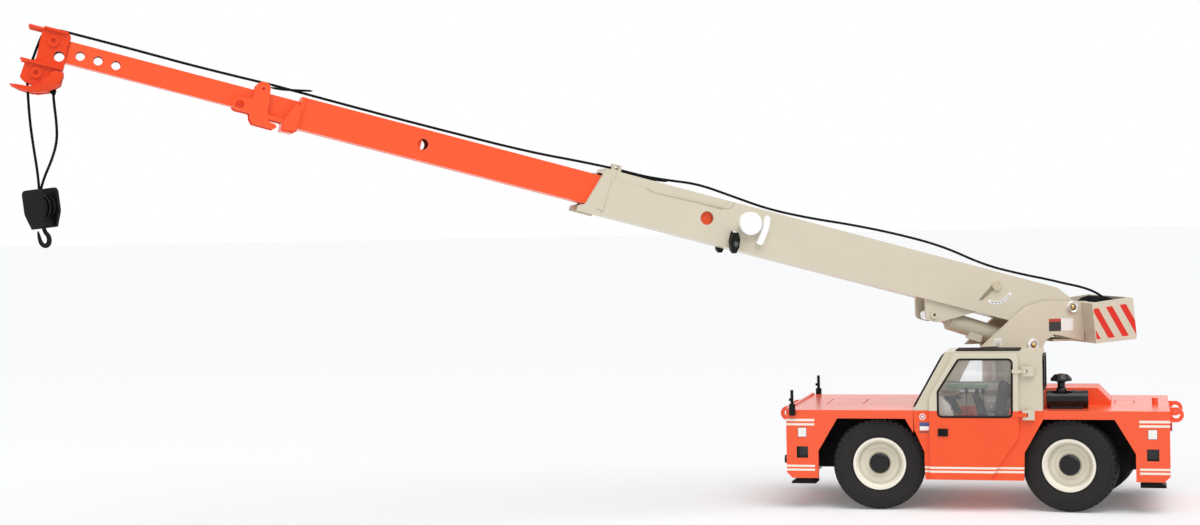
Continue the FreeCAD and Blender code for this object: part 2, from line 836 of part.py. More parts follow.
def deck_fittings():
    deck = dim.deck_height
    hood_height = deck + dim.hood_rise
    hood = prism(
        "EngineHood", "XZ",
        [(18.4, deck), (18.4, hood_height), (33.9, hood_height), (37.5, deck + 1.2), (37.5, deck)],
        -6.9, 8.0,
    )
    finish(hood, "engine_hood", chassis_frame)
    radius = dim.cleaner_radius
    height = deck + radius + 0.25
    y = -dim.cleaner_offset
    first = dim.cab_rear + 0.8
    stack = first + 4.1
    cap_low = hood_height + 3.1
    pieces = [
        rod("Cleaner", "X", radius, first, first + 11.5, y=y, z=height),
        box("CleanerFoot", first + 1.0, first + 10.0, y - 1.6, y + 1.6, deck, height),
        rod("CleanerHose", "Y", 1.1, y, -6.9, x=first + 2.0, z=height),
    ]
    for i in range(4):
        start = first + 0.6 + 3.3 * i
        pieces.append(rod(f"CleanerBand{i}", "X", radius + 0.2, start, start + 0.6, y=y, z=height))
    rise = cap_low - height
    intake = turned(
        "Intake",
        [
            (0, 0), (1.5, 0), (1.5, radius + 0.3), (1.05, radius + 1.1), (1.05, rise - 0.7), (1.7, rise),
            (3.0, rise - 0.1), (3.0, rise + 0.5), (1.9, rise + 1.7), (0, rise + 2.0),
        ],
    )
    put(intake, stack, y, height)
    pieces.append(intake)
    finish(fuse("AirCleaner", *pieces), "air_cleaner", chassis_frame)
    stakes = []
    top = deck + dim.stake_rise
    for hand, side in (("Left", -1), ("Right", 1)):
        face = dim.body_half_width * side
        x = -body_end + 2.0
        y = face + dim.stake_radius * 0.7 * side
        y0, y1 = (y, face) if side < 0 else (face, y)
        stakes += [
            rod("StakeSleeve" + hand, "Z", dim.stake_radius, deck - 1.5, deck + 1.8, x=x, y=y + 0.3 * side),
            box("StakeFoot" + hand, x - 0.7, x + 0.7, y0, y1, deck - 1.3, deck + 0.6),
            rod("StakePin" + hand, "Z", dim.stake_radius * 0.5, deck + 1.6, top, x=x, y=y + 0.3 * side),
            box("StakeCatch" + hand, x - 0.9, x + 0.2, y - 0.2, y + 0.4, top - 3.2, top - 2.4),
        ]
    finish(fuse("Stakes", *stakes), "deck_stakes", chassis_frame)
    lamps = []
    for hand, across in (("Left", -20.6), ("Right", 20.6)):
        lamps.append(rod("HeadLamp" + hand, "X", 1.2, -body_end - 1.1, -body_end,
                         y=across, z=dim.sill_height + 5.0))
    finish(fuse("HeadLamps", *lamps), "head_lamps", chassis_frame)
    tails = []
    for hand, across in (("Left", -21.6), ("Right", 21.6)):
        tails.append(box("TailLamp" + hand, body_end, body_end + 0.6,
                         across - 1.2, across + 1.2, deck - 5.6, deck - 3.5))
    finish(fuse("TailLamps", *tails), "tail_lamps", chassis_frame)
    tower = fuse(
        "PedestalBlank",
        rod("Tower", "Z", dim.pedestal_radius, deck, race_height - 1.0, x=dim.slew_offset),
        rod("TowerRing", "Z", dim.race_radius, race_height - 1.0, race_height, x=dim.slew_offset),
    )
    bore = rod(
        "TowerBore", "Z", dim.spigot_radius + dim.running_gap, race_height - 8.0, race_height + 1,
        x=dim.slew_offset,
    )
    finish(cut("Pedestal", tower, bore), "pedestal", chassis_frame)


# ---- turret

half_plate = dim.turret_half_inner + dim.turret_plate


def turret():
    floor = turret_floor
    pivot_x = -dim.pivot_back
    pivot_z = pivot_height
    brow = [(-2.2, pivot_z + 0.52), (-7.9, pivot_z + 2.12)]
    outline = [
        (6.3, floor), (6.7, floor + 1.95), (11.7, floor + 1.95), (3.0, floor + 9.1), *brow,
        (pivot_x - 4.76, pivot_z + 1.62), (pivot_x - 4.76, floor + 5.3), (pivot_x - 3.66, floor + 5.3),
        (pivot_x - 3.66, floor + 2.5), (-10.8, floor + 4.8), (-8.2, floor + 3.1), (-6.6, floor),
    ]
    pieces = []
    for hand, y0, y1 in (
        ("Left", dim.turret_half_inner, half_plate),
        ("Right", -half_plate, -dim.turret_half_inner),
    ):
        plate = prism("TurretPlate" + hand, "XZ", outline, y0, y1)
        round_corners(plate, "XZ", brow, 4.0)
        pieces.append(plate)
    race = race_height + dim.running_gap
    pieces += [
        rod("TurretDisc", "Z", dim.race_radius, race, floor),
        rod("TurretSpigot", "Z", dim.spigot_radius, race_height - 6.8, race),
        box(
            "TurretCross", pivot_x - 3.46, pivot_x - 1.96, -dim.turret_half_inner, dim.turret_half_inner,
            floor + 2.6, floor + 3.4,
        ),
        box(
            "TurretWebRear", pivot_x - 3.36, -11.0, -dim.turret_half_inner, dim.turret_half_inner,
            floor + 2.6, floor + 3.2,
        ),
        box("TurretWebFront", 5.2, 6.3, -dim.turret_half_inner, dim.turret_half_inner, floor - 0.5, floor + 0.3),
    ]
    holes = [
        rod("PivotHole", "Y", dim.pivot_pin, -20, 20, x=pivot_x, z=pivot_z),
        rod("LiftHole", "Y", dim.lift_pin, -20, 20, x=-dim.lift_base_back, z=lift_base_height),
    ]
    finish(cut("Turret", fuse("TurretBlank", *pieces), *holes), "turret_frame", turret_frame)
    pins = []
    reach = half_plate + dim.washer_thickness
    for name, radius, x, z in (
        ("Pivot", dim.pivot_pin, pivot_x, pivot_z),
        ("Lift", dim.lift_pin, -dim.lift_base_back, lift_base_height),
    ):
        pins.append(
            fuse(
                name + "PinBlank",
                rod(name + "Pin", "Y", radius, -reach, reach, x=x, z=z),
                rod(name + "WasherLeft", "Y", dim.washer_radius, half_plate, reach, x=x, z=z),
                rod(name + "WasherRight", "Y", dim.washer_radius, -reach, -half_plate, x=x, z=z),
            )
        )
    for hand, y0, y1 in (("Left", half_plate, half_plate + 0.3), ("Right", -half_plate - 0.3, -half_plate)):
        pins.append(rod("PlateBolt" + hand, "Y", 0.85, y0, y1, x=6.9, z=floor + 3.2))
    finish(fuse("TurretPins", *pins), "turret_pins", turret_frame)


def counterweight():
    """An open box behind the turret plates, tipped up at the rear, with the winch drum inside."""
    floor = turret_floor
    near_top = -dim.pivot_back - 2.96
    side = [
        (near_top, floor + 13.8), (near_top - 13.0, floor + 15.2), (near_top - 14.1, floor + 3.0),
        (near_top - 1.1, floor + 2.1),
    ]
    wide = dim.weight_half_width
    wall = dim.weight_wall
    block = prism("Weight", "XZ", side, -wide, wide)
    crest = floor + 18.0
    room = [
        (near_top - 1.2, crest), (near_top - 11.8, crest), (near_top - 12.7, floor + 5.8),
        (near_top - 2.1, floor + 4.9),
    ]
    pocket(block, "XZ", room, -wide + wall, wide - wall)
    throat = [
        (near_top + 1.6, crest), (near_top - 2.9, crest), (near_top - 2.9, floor + 5.0),
        (near_top + 1.6, floor + 5.0),
    ]
    pocket(block, "XZ", throat, -half_plate, half_plate)
    round_corners(block, "XZ", [side[1], side[2]], 0.8)
    finish(block, "counterweight", turret_frame)
    drum = fuse(
        "DrumBlank",
        rod("Drum", "Y", dim.drum_radius - 0.9, -7.0, 7.0, x=-dim.drum_back, z=drum_height),
        rod("DrumFlangeLeft", "Y", dim.drum_radius, 6.4, 7.0, x=-dim.drum_back, z=drum_height),
        rod("DrumFlangeRight", "Y", dim.drum_radius, -7.0, -6.4, x=-dim.drum_back, z=drum_height),
        rod("DrumShaft", "Y", 0.8, -dim.weight_half_width + wall, dim.weight_half_width - wall,
            x=-dim.drum_back, z=drum_height),
    )
    finish(drum, "winch_drum", turret_frame)


# ---- lift cylinder

reach_x = dim.lift_base_back - dim.pivot_back
reach_z = pivot_height - lift_base_height


def lift():
    tilt = math.radians(dim.boom_elevation.value)
    sine = f"sin({dim.boom_elevation.text} * 1 deg)"
    cosine = f"cos({dim.boom_elevation.text} * 1 deg)"
    rise = Size(math.sin(tilt), sine)
    run = Size(math.cos(tilt), cosine)
    x = reach_x + dim.bracket_along * run + dim.bracket_drop * rise
    z = reach_z + dim.bracket_along * rise - dim.bracket_drop * run
    angle = Size(math.degrees(math.atan2(z.value, x.value)), f"(atan2({z.text}; {x.text}) / 1 deg)")
    length = Size(math.hypot(x.value, z.value), f"hypot({x.text}; {z.text})")
    carrier = frame(
        "LiftFrame", turret_frame, -dim.lift_base_back, 0, lift_base_height, "0;1;0", -angle
    )
    barrel = fuse(
        "BarrelBlank",
        rod("Barrel", "X", dim.barrel_radius, dim.barrel_neck, dim.barrel_length),
        rod("BarrelFoot", "X", dim.lift_pin + 0.8, 1.6, dim.barrel_neck + 0.5),
        rod("Gland", "X", dim.barrel_radius * 0.7, dim.barrel_length - 0.5, dim.barrel_length + 0.7),
        rod("BarrelEye", "Y", dim.lift_pin + 0.8, -2.3, 2.3),
        box("BarrelNeck", 0, 2.2, -1.8, 1.8, -1.3, 1.3),
        box("PortBlock", 14.0, 18.1, 0.4, 2.6, -dim.barrel_radius - 0.7, -1.5),
    )
    hollow = rod("BarrelBore", "X", dim.rod_radius + dim.running_gap, 4.0, dim.barrel_length + 2)
    eye = rod("BarrelPinHole", "Y", dim.lift_pin + dim.running_gap, -4, 4)
    finish(cut("LiftBarrel", barrel, hollow, eye), "lift_barrel", carrier)
    ram = fuse(
        "RamBlank",
        rod("Ram", "X", dim.rod_radius, 6.6, length - 0.5),
        rod("RamEye", "Y", 1.7, -dim.bracket_half_gap + 0.5, dim.bracket_half_gap - 0.5, x=length),
    )
    hole = rod("RamHole", "Y", 1.0, -4, 4, x=length)
    finish(cut("LiftRod", ram, hole), "lift_rod", carrier)
    return carrier


# ---- boom

mid_rear = dim.base_length - dim.mid_overlap
mid_front = dim.base_length + dim.mid_reach
fly_rear = mid_front - dim.fly_overlap
fly_front = mid_front + dim.fly_reach
upper_sheave_along = fly_front + dim.upper_sheave_ahead
lower_sheave_along = fly_front + dim.lower_sheave_ahead


def stations(start, corners):
    """Outline corners counted from a station along the boom."""
    return [(start + x, z) for x, z in corners]


def tube(name, start, end, top, bottom, half, wall, front_wall=None):
    """A hollow box section, open at both ends."""
    outer = box(name + "Outer", start, end, -half, half, -bottom, top)
    inner = box(name + "Inner", start - 1, end + 1, -half + wall, half - wall, -bottom + wall, top - wall)
    return cut(name, outer, inner)


def ring(name, start, end, outer, inner):
    """A guide ring: outer and inner are (top, bottom, half width)."""
    solid = box(name + "Solid", start, end, -outer[2], outer[2], -outer[1], outer[0])
    hole = box(name + "Hole", start - 1, end + 1, -inner[2], inner[2], -inner[1], inner[0])
    return cut(name, solid, hole)


def boom_base():
    top = dim.base_top
    low = dim.base_bottom
    half = dim.base_half_width
    wall = dim.base_wall
    front = dim.base_length
    outline = [
        (-2.4, -low), (-2.4, -0.5), (-0.6, 2.2), (5.2, top), (front - 1.2, top), (front + 2.4, -low + 1.6),
        (front + 2.6, -low),
    ]
    body = prism("BaseTube", "XZ", outline, -half, half)
    room = [(8.0, -low + wall), (8.0, top - wall), (front - 4.0, top - wall), (front - 4.0, -low + wall)]
    pocket(body, "XZ", room, -half + wall, half - wall)
    gap = dim.slide_gap
    mouth = box(
        "BaseMouth", front - 5.0, front + 8.0, -dim.mid_half_width - gap, dim.mid_half_width + gap,
        -dim.mid_bottom - gap, dim.mid_top + gap,
    )
    inspection = rod("BaseHole", "Y", dim.base_hole, -20, 20, x=front - 32.5, z=-1.7)
    recess = dim.collar_depth
    strip = stations(front, [(-38.5, top + 1), (-36.0, 1.5), (-4.0, 1.9), (-4.0, top + 1)])
    bevel = stations(front, [(-3.2, 3.3), (-1.0, 3.3), (2.4, -low + 1.6), (-2.8, -low + 1.1)])
    lap = half + recess
    tools = [mouth, inspection]
    extra = []
    for hand, y0, y1, z0, z1, toe0, toe1 in (
        ("Left", half - recess, half + 1, half - 0.1, lap, half - 1.0, lap),
        ("Right", -half - 1, -half + recess, -lap, -half + 0.1, -lap, -half + 1.0),
    ):
        toe = stations(front, [
            (-2.5, -low - 0.5), (-2.5, -low + 0.9), (2.2, -low + 1.9), (4.1, -low + 0.9), (4.1, -low - 0.5),
        ])
        extra.append(prism("PadToe" + hand, "XZ", toe, toe0, toe1))
        step = prism("BaseStrip" + hand, "XZ", strip, y0, y1)
        tools.append(step)
        extra.append(prism("BaseCollar" + hand, "XZ", bevel, z0, z1))
    for hand, y0, y1 in (("Left", 0.6, 1.3), ("Right", -1.3, -0.6)):
        ear = prism(
            "GuideEar" + hand, "XZ",
            stations(front, [
                (-6.4, top - 0.2), (-6.1, top + dim.guide_height + 0.8), (-3.6, top + dim.guide_height + 0.8),
                (-3.3, top - 0.2),
            ]),
            y0, y1, holes=[(front - 4.9, top + dim.guide_height, dim.guide_hole)],
        )
        extra.append(ear)
    inside = dim.bracket_half_gap
    outside = inside + dim.bracket_plate
    for hand, y0, y1, bolt in (("Left", inside, outside, outside), ("Right", -outside, -inside, -outside - 0.4)):
        heel = dim.bracket_along
        drop = -dim.bracket_drop - 1.87
        corners = [(heel - 1.9, drop), (heel + 1.9, drop)]
        plate = prism(
            "Bracket" + hand, "XZ",
            [(heel - 14.5, -low + 0.5), (heel - 12.7, -low), *corners, (heel + 3.6, -low + 0.5)], y0, y1,
        )
        round_corners(plate, "XZ", corners, 1.7)
        extra.append(plate)
        extra.append(rod("BracketBolt" + hand, "Y", 1.1, bolt - 0.3, bolt + 0.7, x=heel, z=-dim.bracket_drop))
        tools.append(rod("BoltSocket" + hand, "Y", 0.5, bolt - 0.5, bolt + 0.9, x=heel, z=-dim.bracket_drop))
    tools.append(rod("BasePivotBore", "Y", dim.pivot_pin + dim.running_gap, -20, 20))
    finish(cut("BoomBase", fuse("BaseBlank", body, *extra), *tools), "boom_base", boom_frame)
    reel = front - 44.7
    guard = prism(
        "ReelGuard", "XZ",
        stations(reel, [
            (-3.9, 3.1), (-5.2, 2.9), (-5.6, 1.0), (-5.5, -1.3), (-4.9, -4.9), (-4.3, -5.4), (-3.1, -5.0),
            (-3.5, -2.9), (-3.8, -0.5), (-3.7, 1.7),
        ]),
        half, half + 1.6,
    )
    disc = rod("ReelDisc", "Y", 3.2, half, half + 2.2, x=reel, z=-0.2)
    finish(fuse("CableReelBlank", disc, guard), "cable_reel", boom_frame)
    lamp = front - 42.0
    lamps = []
    for hand, face, inner, outer in (
        ("Left", (half, half + 0.8), half + 0.8, half + 2.4),
        ("Right", (-half - 0.8, -half), -half - 2.4, -half - 0.8),
    ):
        hood = stations(lamp, [
            (0.3, -3.6), (1.8, -3.9), (1.9, -6.7), (1.3, -8.8), (0.4, -9.6), (-0.5, -9.3), (-0.9, -7.4), (-0.6, -5.2),
        ])
        lamps.append(prism("LampBody" + hand, "XZ", hood, inner, outer))
        lamps.append(box("LampBracket" + hand, lamp + 0.2, lamp + 1.9, *face, -6.6, -3.6))
    finish(fuse("BoomLamps", *lamps), "boom_lamp", boom_frame)
    gauge = 24.1
    pointer = prism(
        "GaugePointer", "XZ", [(gauge - 0.5, -0.9), (gauge + 0.7, -0.6), (gauge + 3.6, -4.6)], half, half + 0.4
    )
    dial = rod("GaugeDisc", "Y", 1.45, half, half + 0.9, x=gauge, z=0.5)
    finish(fuse("AngleGaugeBlank", dial, pointer), "angle_gauge", boom_frame)


def boom_mid():
    gap = dim.slide_gap
    wide = dim.mid_half_width
    walls = tube("MidTube", mid_rear, mid_front, dim.mid_top, dim.mid_bottom, wide, dim.mid_wall)
    inner = (dim.mid_top - dim.mid_wall, dim.mid_bottom - dim.mid_wall, wide - dim.mid_wall)
    heel = ring(
        "MidHeel", mid_rear, mid_rear + 3.0,
        (dim.base_top - dim.base_wall - gap, dim.base_bottom - dim.base_wall - gap,
         dim.base_half_width - dim.base_wall - gap), inner,
    )
    slot = (dim.fly_top + gap, dim.fly_bottom + gap, dim.fly_half_width + gap)
    collar = ring("MidCollar", mid_front - 3.2, mid_front + 0.5, (dim.mid_top, dim.mid_bottom, wide), slot)
    flange = ring("MidFlange", mid_front - 0.7, mid_front + 0.5, (dim.mid_top, dim.mid_bottom, wide + 0.5), slot)
    foot = prism(
        "MidFoot", "XZ",
        stations(mid_front, [(0.1, -6.4), (4.1, -5.6), (3.8, -7.9), (0.5, -7.7)]), -wide - 0.5, wide + 0.5,
    )
    pieces = [walls, heel, collar, flange, foot]
    for hand, y0, y1, rib0, rib1 in (
        ("Left", 3.6, 4.4, 4.3, 5.0),
        ("Right", -4.4, -3.6, -5.0, -4.3),
    ):
        rib = prism(
            "Gusset" + hand, "XZ",
            stations(mid_front, [(0.0, -0.4), (1.6, 0.3), (3.8, -4.9), (3.6, -7.6), (0.0, -7.0)]), rib0, rib1,
        )
        pieces.append(rib)
        pieces.append(
            prism(
                "GussetFoot" + hand, "XZ",
                stations(mid_front, [(-0.2, -5.6), (3.9, -5.2), (3.9, -7.8), (-0.2, -7.2)]), y0, y1,
            )
        )
        pieces.append(box("JibArm" + hand, mid_front + 3.0, mid_front + 8.6, y0, y1, -5.7, -4.6))
        crest = stations(mid_front, [(9.2, 3.6), (12.7, 3.6)])
        tip = stations(mid_front, [(17.9, -1.95), (17.9, -5.5)])
        hollow = stations(mid_front, [(13.1, -1.6), (12.8, -5.4)])
        plate = prism(
            "JibPlate" + hand, "XZ",
            [
                *crest, hollow[0], *tip, hollow[1],
                *stations(mid_front, [
                    (12.4, -6.8), (11.4, -7.9), (5.8, -8.0), (5.1, -7.2), (5.6, -6.6), (7.5, -6.3), (8.2, -5.2),
                ]),
            ],
            y0, y1, holes=[(mid_front + 16.0, -3.75, dim.arm_hole), (mid_front + 10.9, 1.85, 0.4)],
        )
        round_corners(plate, "XZ", crest + tip, 1.65)
        round_corners(plate, "XZ", hollow, 0.6)
        pieces.append(plate)
    pieces.append(box("JibBridge", mid_front + 9.6, mid_front + 11.9, -4.4, 4.4, 2.4, 3.3))
    inspection = rod("MidHole", "Y", dim.mid_hole, -20, 20, x=mid_front - 33.9, z=-1.7)
    finish(cut("BoomMid", fuse("MidBlank", *pieces), inspection), "boom_mid", boom_frame)


def boom_fly():
    gap = dim.slide_gap
    walls = tube(
        "FlyTube", fly_rear, fly_front, dim.fly_top, dim.fly_bottom, dim.fly_half_width, dim.fly_wall
    )
    inner = (dim.fly_top - dim.fly_wall, dim.fly_bottom - dim.fly_wall, dim.fly_half_width - dim.fly_wall)
    heel = ring(
        "FlyHeel", fly_rear, fly_rear + 3.0,
        (dim.mid_top - dim.mid_wall - gap, dim.mid_bottom - dim.mid_wall - gap,
         dim.mid_half_width - dim.mid_wall - gap), inner,
    )
    holes = [
        rod(f"FlyHole{i}", "Y", dim.fly_hole, -20, 20, x=fly_front - 12.6 + 4.65 * i, z=-2.03) for i in range(3)
    ]
    finish(cut("BoomFly", fuse("FlyBlank", walls, heel), *holes), "boom_fly", boom_frame)


def boom_head():
    thick = dim.head_plate
    near = dim.fly_half_width
    out = near + thick
    tip = fly_front
    reach = tip + 11.0
    pieces = []
    for hand, y0, y1 in (("Left", near, out), ("Right", -out, -near)):
        plate = prism(
            "HeadPlate" + hand, "XZ",
            stations(tip, [
                (0.1, -6.7), (0.2, 2.3), (1.0, 3.15), (7.1, 3.15), (7.4, 1.3), (7.2, -5.8), (9.7, -7.3),
                (10.0, -11.2), (8.2, -12.2), (5.2, -12.3), (3.8, -10.6),
            ]),
            y0, y1, holes=[(tip + 1.8, -3.55, dim.pin_hole)],
        )
        round_corners(plate, "XZ", stations(tip, [(7.2, -5.8), (8.2, -12.2)]), 1.2)
        lift = 0.5 if hand == "Left" else -0.5
        horn = prism(
            "Horn" + hand, "XZ",
            stations(tip, [
                (-0.4, -7.4), (2.2, -7.3), (3.2, -9.4), (4.6, -11.5), (7.2, -13.0), (11.9, -13.5),
                (12.0, -13.8), (6.2, -14.5), (2.1, -13.2), (-0.4, -10.6),
            ]),
            y0 + (0 if lift > 0 else lift), y1 + (lift if lift > 0 else 0),
        )
        round_corners(horn, "XZ", stations(tip, [(2.2, -7.3)]), 1.0)
        pieces += [plate, horn]
    pieces += [
        box("HeadFloor", tip + 0.1, tip + 3.4, -near, near, -6.9, -6.2),
        box("HeadRear", tip, tip + 0.3, -near, near, -6.9, -3.6),
        box("HeadRoofRear", tip + 0.1, tip + 1.0, -near, near, 1.0, 2.2),
        box("ShelfLeft", tip + 0.5, reach, out, out + 0.9, -6.9, -6.2),
        box("ShelfRight", tip + 0.5, reach, -out - 0.9, -out, -6.9, -6.2),
        box("TopLeft", tip + 1.0, tip + 7.1, out, out + 0.7, 2.5, 3.15),
        box("TopRight", tip + 1.0, tip + 7.1, -out - 0.7, -out, 2.5, 3.15),
        rod("Prong", "X", 0.5, tip + 6.4, reach, y=near + thick / 2, z=2.3),
        rod("ProngFar", "X", 0.5, tip + 6.4, reach, y=-near - thick / 2, z=2.3),
        rod("UpperAxle", "Y", 0.8, -out, out, x=upper_sheave_along),
        rod("LowerAxle", "Y", 0.8, -out, out, x=lower_sheave_along, z=-dim.lower_sheave_drop),
    ]
    sockets = []
    for name, x, z in (
        ("Upper", upper_sheave_along, size(0)), ("Lower", lower_sheave_along, -dim.lower_sheave_drop),
    ):
        for hand, y0, y1 in (("Left", out - 0.1, out + 0.45), ("Right", -out - 0.45, -out + 0.1)):
            pieces.append(rod(name + "Boss" + hand, "Y", dim.axle_boss, y0, y1, x=x, z=z))
        for hand, y0, y1 in (("Left", out - 0.2, out + 1), ("Right", -out - 1, -out + 0.2)):
            sockets.append(rod(name + "Socket" + hand, "Y", dim.axle_boss * 0.42, y0, y1, x=x, z=z))
    finish(cut("BoomHead", fuse("HeadBlank", *pieces), *sockets), "boom_head", boom_frame)
    wheels = []
    for name, radius, x, z in (
        ("Upper", dim.upper_sheave_radius, upper_sheave_along, size(0)),
        ("Lower", dim.lower_sheave_radius, lower_sheave_along, -dim.lower_sheave_drop),
    ):
        half = dim.sheave_half_width
        rim = turned(
            name + "Sheave",
            [(0.8, -half), (radius, -half), (radius - 0.6, 0), (radius, half), (0.8, half)],
        )
        put(rim, x, 0, z, "1;0;0", 90)
        wheels.append(rim)
    finish(fuse("HeadSheaves", *wheels), "head_sheaves", boom_frame)


# ---- hoist line and hook


def line(name, points):
    """A round line along straight runs through chosen points."""
    knots = [FreeCAD.Vector(size(x).value, 0, size(z).value) for x, z in points]
    path = Part.makePolygon(knots)
    circle = Part.Wire([Part.Circle(knots[0], knots[1] - knots[0], SIZES["line_radius"]).toShape()])
    made = doc.addObject("Part::Feature", name)
    made.Shape = path.makePipeShell([circle], True, False)
    return made


def hoist_line():
    rise = pivot_height
    finish(
        line("WinchLine", [(-29.5, rise + 2.42), (-24.0, rise + 5.92), (-19.0, rise + 7.02), (-14.4, rise + 7.82)]),
        "line_winch", turret_frame,
    )
    top = dim.base_top
    guide = top + dim.guide_height - 0.35
    front = dim.base_length
    over = [(4.6, top + 2.35), (15.0, top + 1.45), (27.0, top + 1.35), (41.0, top + 3.45), (56.0, top + 3.55)]
    over += stations(front, [
        (-76.0, top + 2.75), (-64.0, top + 1.55), (-51.0, top + 0.95), (-39.0, top + 1.85), (-29.0, top + 2.65),
        (-20.0, top + 1.65), (-12.0, guide), (-5.3, guide),
    ])
    finish(line("BaseLine", over), "line_base", boom_frame)
    top = dim.mid_top
    over = stations(front, [(-4.7, guide), (4.0, top + 2.75), (20.0, top + 1.55)])
    over += stations(mid_front, [(-41.5, top + 1.25), (-17.5, top + 1.15), (8.3, top + 1.35)])
    finish(line("MidLine", over), "line_mid", boom_frame)
    over = stations(mid_front, [(8.9, top + 1.35)])
    top = dim.fly_top
    over += [(mid_front + 26.5, top + 2.3), (fly_front - 16.2, top + 2.45), (fly_front - 0.2, top + 2.35)]
    finish(line("FlyLine", over), "line_fly", boom_frame)


def hook():
    """The falls and the hook block hang straight down below the lower sheave."""
    tilt = math.radians(SIZES["boom_elevation"])
    along = lower_sheave_along.value
    drop = SIZES["lower_sheave_drop"]
    pin_x = -SIZES["pivot_back"] + along * math.cos(tilt) + drop * math.sin(tilt)
    pin_z = pivot_height.value + along * math.sin(tilt) - drop * math.cos(tilt)
    top = SIZES["block_top"]
    falls = fuse(
        "FallsBlank",
        line("FallFront", [
            (pin_x + 2.55, pin_z - 0.4), (pin_x + 2.6, pin_z - 6.0), (pin_x + 1.6, pin_z - 18.0),
            (pin_x + 0.35, top - 0.8),
        ]),
        line("FallRear", [
            (pin_x - 4.2, pin_z - 5.6), (pin_x - 4.7, pin_z - 13.0), (pin_x - 4.3, pin_z - 20.0),
            (pin_x - 0.35, top - 0.8),
        ]),
    )
    finish(falls, "hook_line", turret_frame)
    crown = dim.block_top
    hanger = frame("HangerFrame", turret_frame, pin_x, 0, crown, "0;1;0", dim.block_lean)
    carrier = frame("HookFrame", hanger, 0, 0, -crown, "0;0;1", dim.block_turn)
    half = dim.block_half_width
    bottom = dim.block_top - dim.block_height
    gap = dim.block_half_gap
    axle_z = bottom + dim.block_height * 0.55
    pieces = []
    for hand, y0, y1 in (("Left", gap, gap + dim.block_cheek), ("Right", -gap - dim.block_cheek, -gap)):
        shoulders = [(-half, dim.block_top), (half, dim.block_top)]
        toes = [(half - 1.9, bottom), (-half + 1.9, bottom)]
        hips = [(half, axle_z - 1.6), (-half, axle_z - 1.6)]
        cheek = prism("Cheek" + hand, "XZ", [*shoulders, hips[0], *toes, hips[1]], y0, y1)
        round_corners(cheek, "XZ", shoulders, 1.3)
        round_corners(cheek, "XZ", hips, 2.4)
        pieces.append(cheek)
    for i in range(3):
        y = -gap + dim.block_half_gap * (2.0 * i + 1) / 3
        pieces.append(rod(f"BlockDisc{i}", "Y", 3.1, y - 0.35, y + 0.35, z=axle_z))
    pieces += [
        rod("BlockGroove", "Y", 2.4, -gap, gap, z=axle_z),
        box("BlockNeck", -1.2, 1.2, -gap, gap, bottom, axle_z),
    ]
    finish(fuse("HookBlock", *pieces), "hook_block", carrier)
    thick = dim.hook_thickness / 2

    def below(corners):
        return [(x + 0.5, bottom - crown - z) for x, z in corners]

    bend = below([(-2.25, 3.3), (-1.3, 5.2), (0.5, 5.1), (1.6, 3.1)])
    point = below([(1.6, 0.9), (1.1, 0.9)])
    throat = below([(0.65, 1.8), (-0.3, 3.65), (-0.85, 3.2)])
    shape = prism(
        "HookBow", "XZ", [*below([(-0.45, 0)]), *bend, *point, *throat, *below([(0.45, 0)])], -thick, thick
    )
    round_corners(shape, "XZ", bend, 0.8)
    round_corners(shape, "XZ", point, 0.22)
    finish(shape, "hook", hanger)


# ---- build

chassis()
underframe()
running_gear()
jacks()
cab_tub()
cab_shell()
door()
cab_inside()
deck_fittings()
turret()
counterweight()
lift()
boom_base()
boom_mid()
boom_fly()
boom_head()
hoist_line()
hook()
doc.recompute()

faults = [o.Name for o in doc.Objects if "Invalid" in o.State or "Error" in o.State]
faults += [p.Label for p in parts if p.Shape.isNull() or not p.Shape.isValid()]
if faults:
    raise RuntimeError("failed: " + ", ".join(faults))

os.makedirs("parts", exist_ok=True)
for part in parts:
    part.Shape.exportStep(f"parts/{part.Label}.step")
    print(part.Label, len(part.Shape.Solids), round(part.Shape.Volume, 2))
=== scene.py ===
import json
import math

import bmesh
import bpy
from mathutils import Matrix, Vector


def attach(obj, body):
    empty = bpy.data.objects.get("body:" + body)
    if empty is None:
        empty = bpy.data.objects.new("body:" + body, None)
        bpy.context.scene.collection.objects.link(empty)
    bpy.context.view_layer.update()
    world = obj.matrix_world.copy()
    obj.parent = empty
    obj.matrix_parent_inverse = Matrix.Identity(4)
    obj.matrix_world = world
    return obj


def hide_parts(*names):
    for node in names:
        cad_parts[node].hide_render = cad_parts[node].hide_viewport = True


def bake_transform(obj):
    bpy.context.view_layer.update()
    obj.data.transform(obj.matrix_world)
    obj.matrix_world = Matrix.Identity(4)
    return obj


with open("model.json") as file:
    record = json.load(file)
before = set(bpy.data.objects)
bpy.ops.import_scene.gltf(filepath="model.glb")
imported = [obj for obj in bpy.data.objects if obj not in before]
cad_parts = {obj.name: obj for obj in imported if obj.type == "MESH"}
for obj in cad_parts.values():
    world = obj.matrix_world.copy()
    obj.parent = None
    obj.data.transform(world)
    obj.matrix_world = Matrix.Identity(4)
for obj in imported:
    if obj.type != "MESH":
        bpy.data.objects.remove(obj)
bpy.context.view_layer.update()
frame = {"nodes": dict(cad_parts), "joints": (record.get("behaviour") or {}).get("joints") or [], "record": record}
joints = {j["name"]: j for j in frame["joints"]}
print("frame loaded,", len(frame["nodes"]), "nodes")


# places: each turns millimetres beside a part of the crane into the shared frame

def place(origin, ahead, left, up):
    columns = [Vector(ahead).normalized(), Vector(left).normalized(), Vector(up).normalized()]
    matrix = Matrix.Identity(4)
    for i, column in enumerate(columns):
        for k in range(3):
            matrix[k][i] = column[k] * 0.001
    matrix.translation = Vector(origin)
    return matrix


def axisOf(name):
    return Vector(joints[name]["axis"]).normalized()


def pinOf(name):
    return Vector(joints[name]["pos_m"])


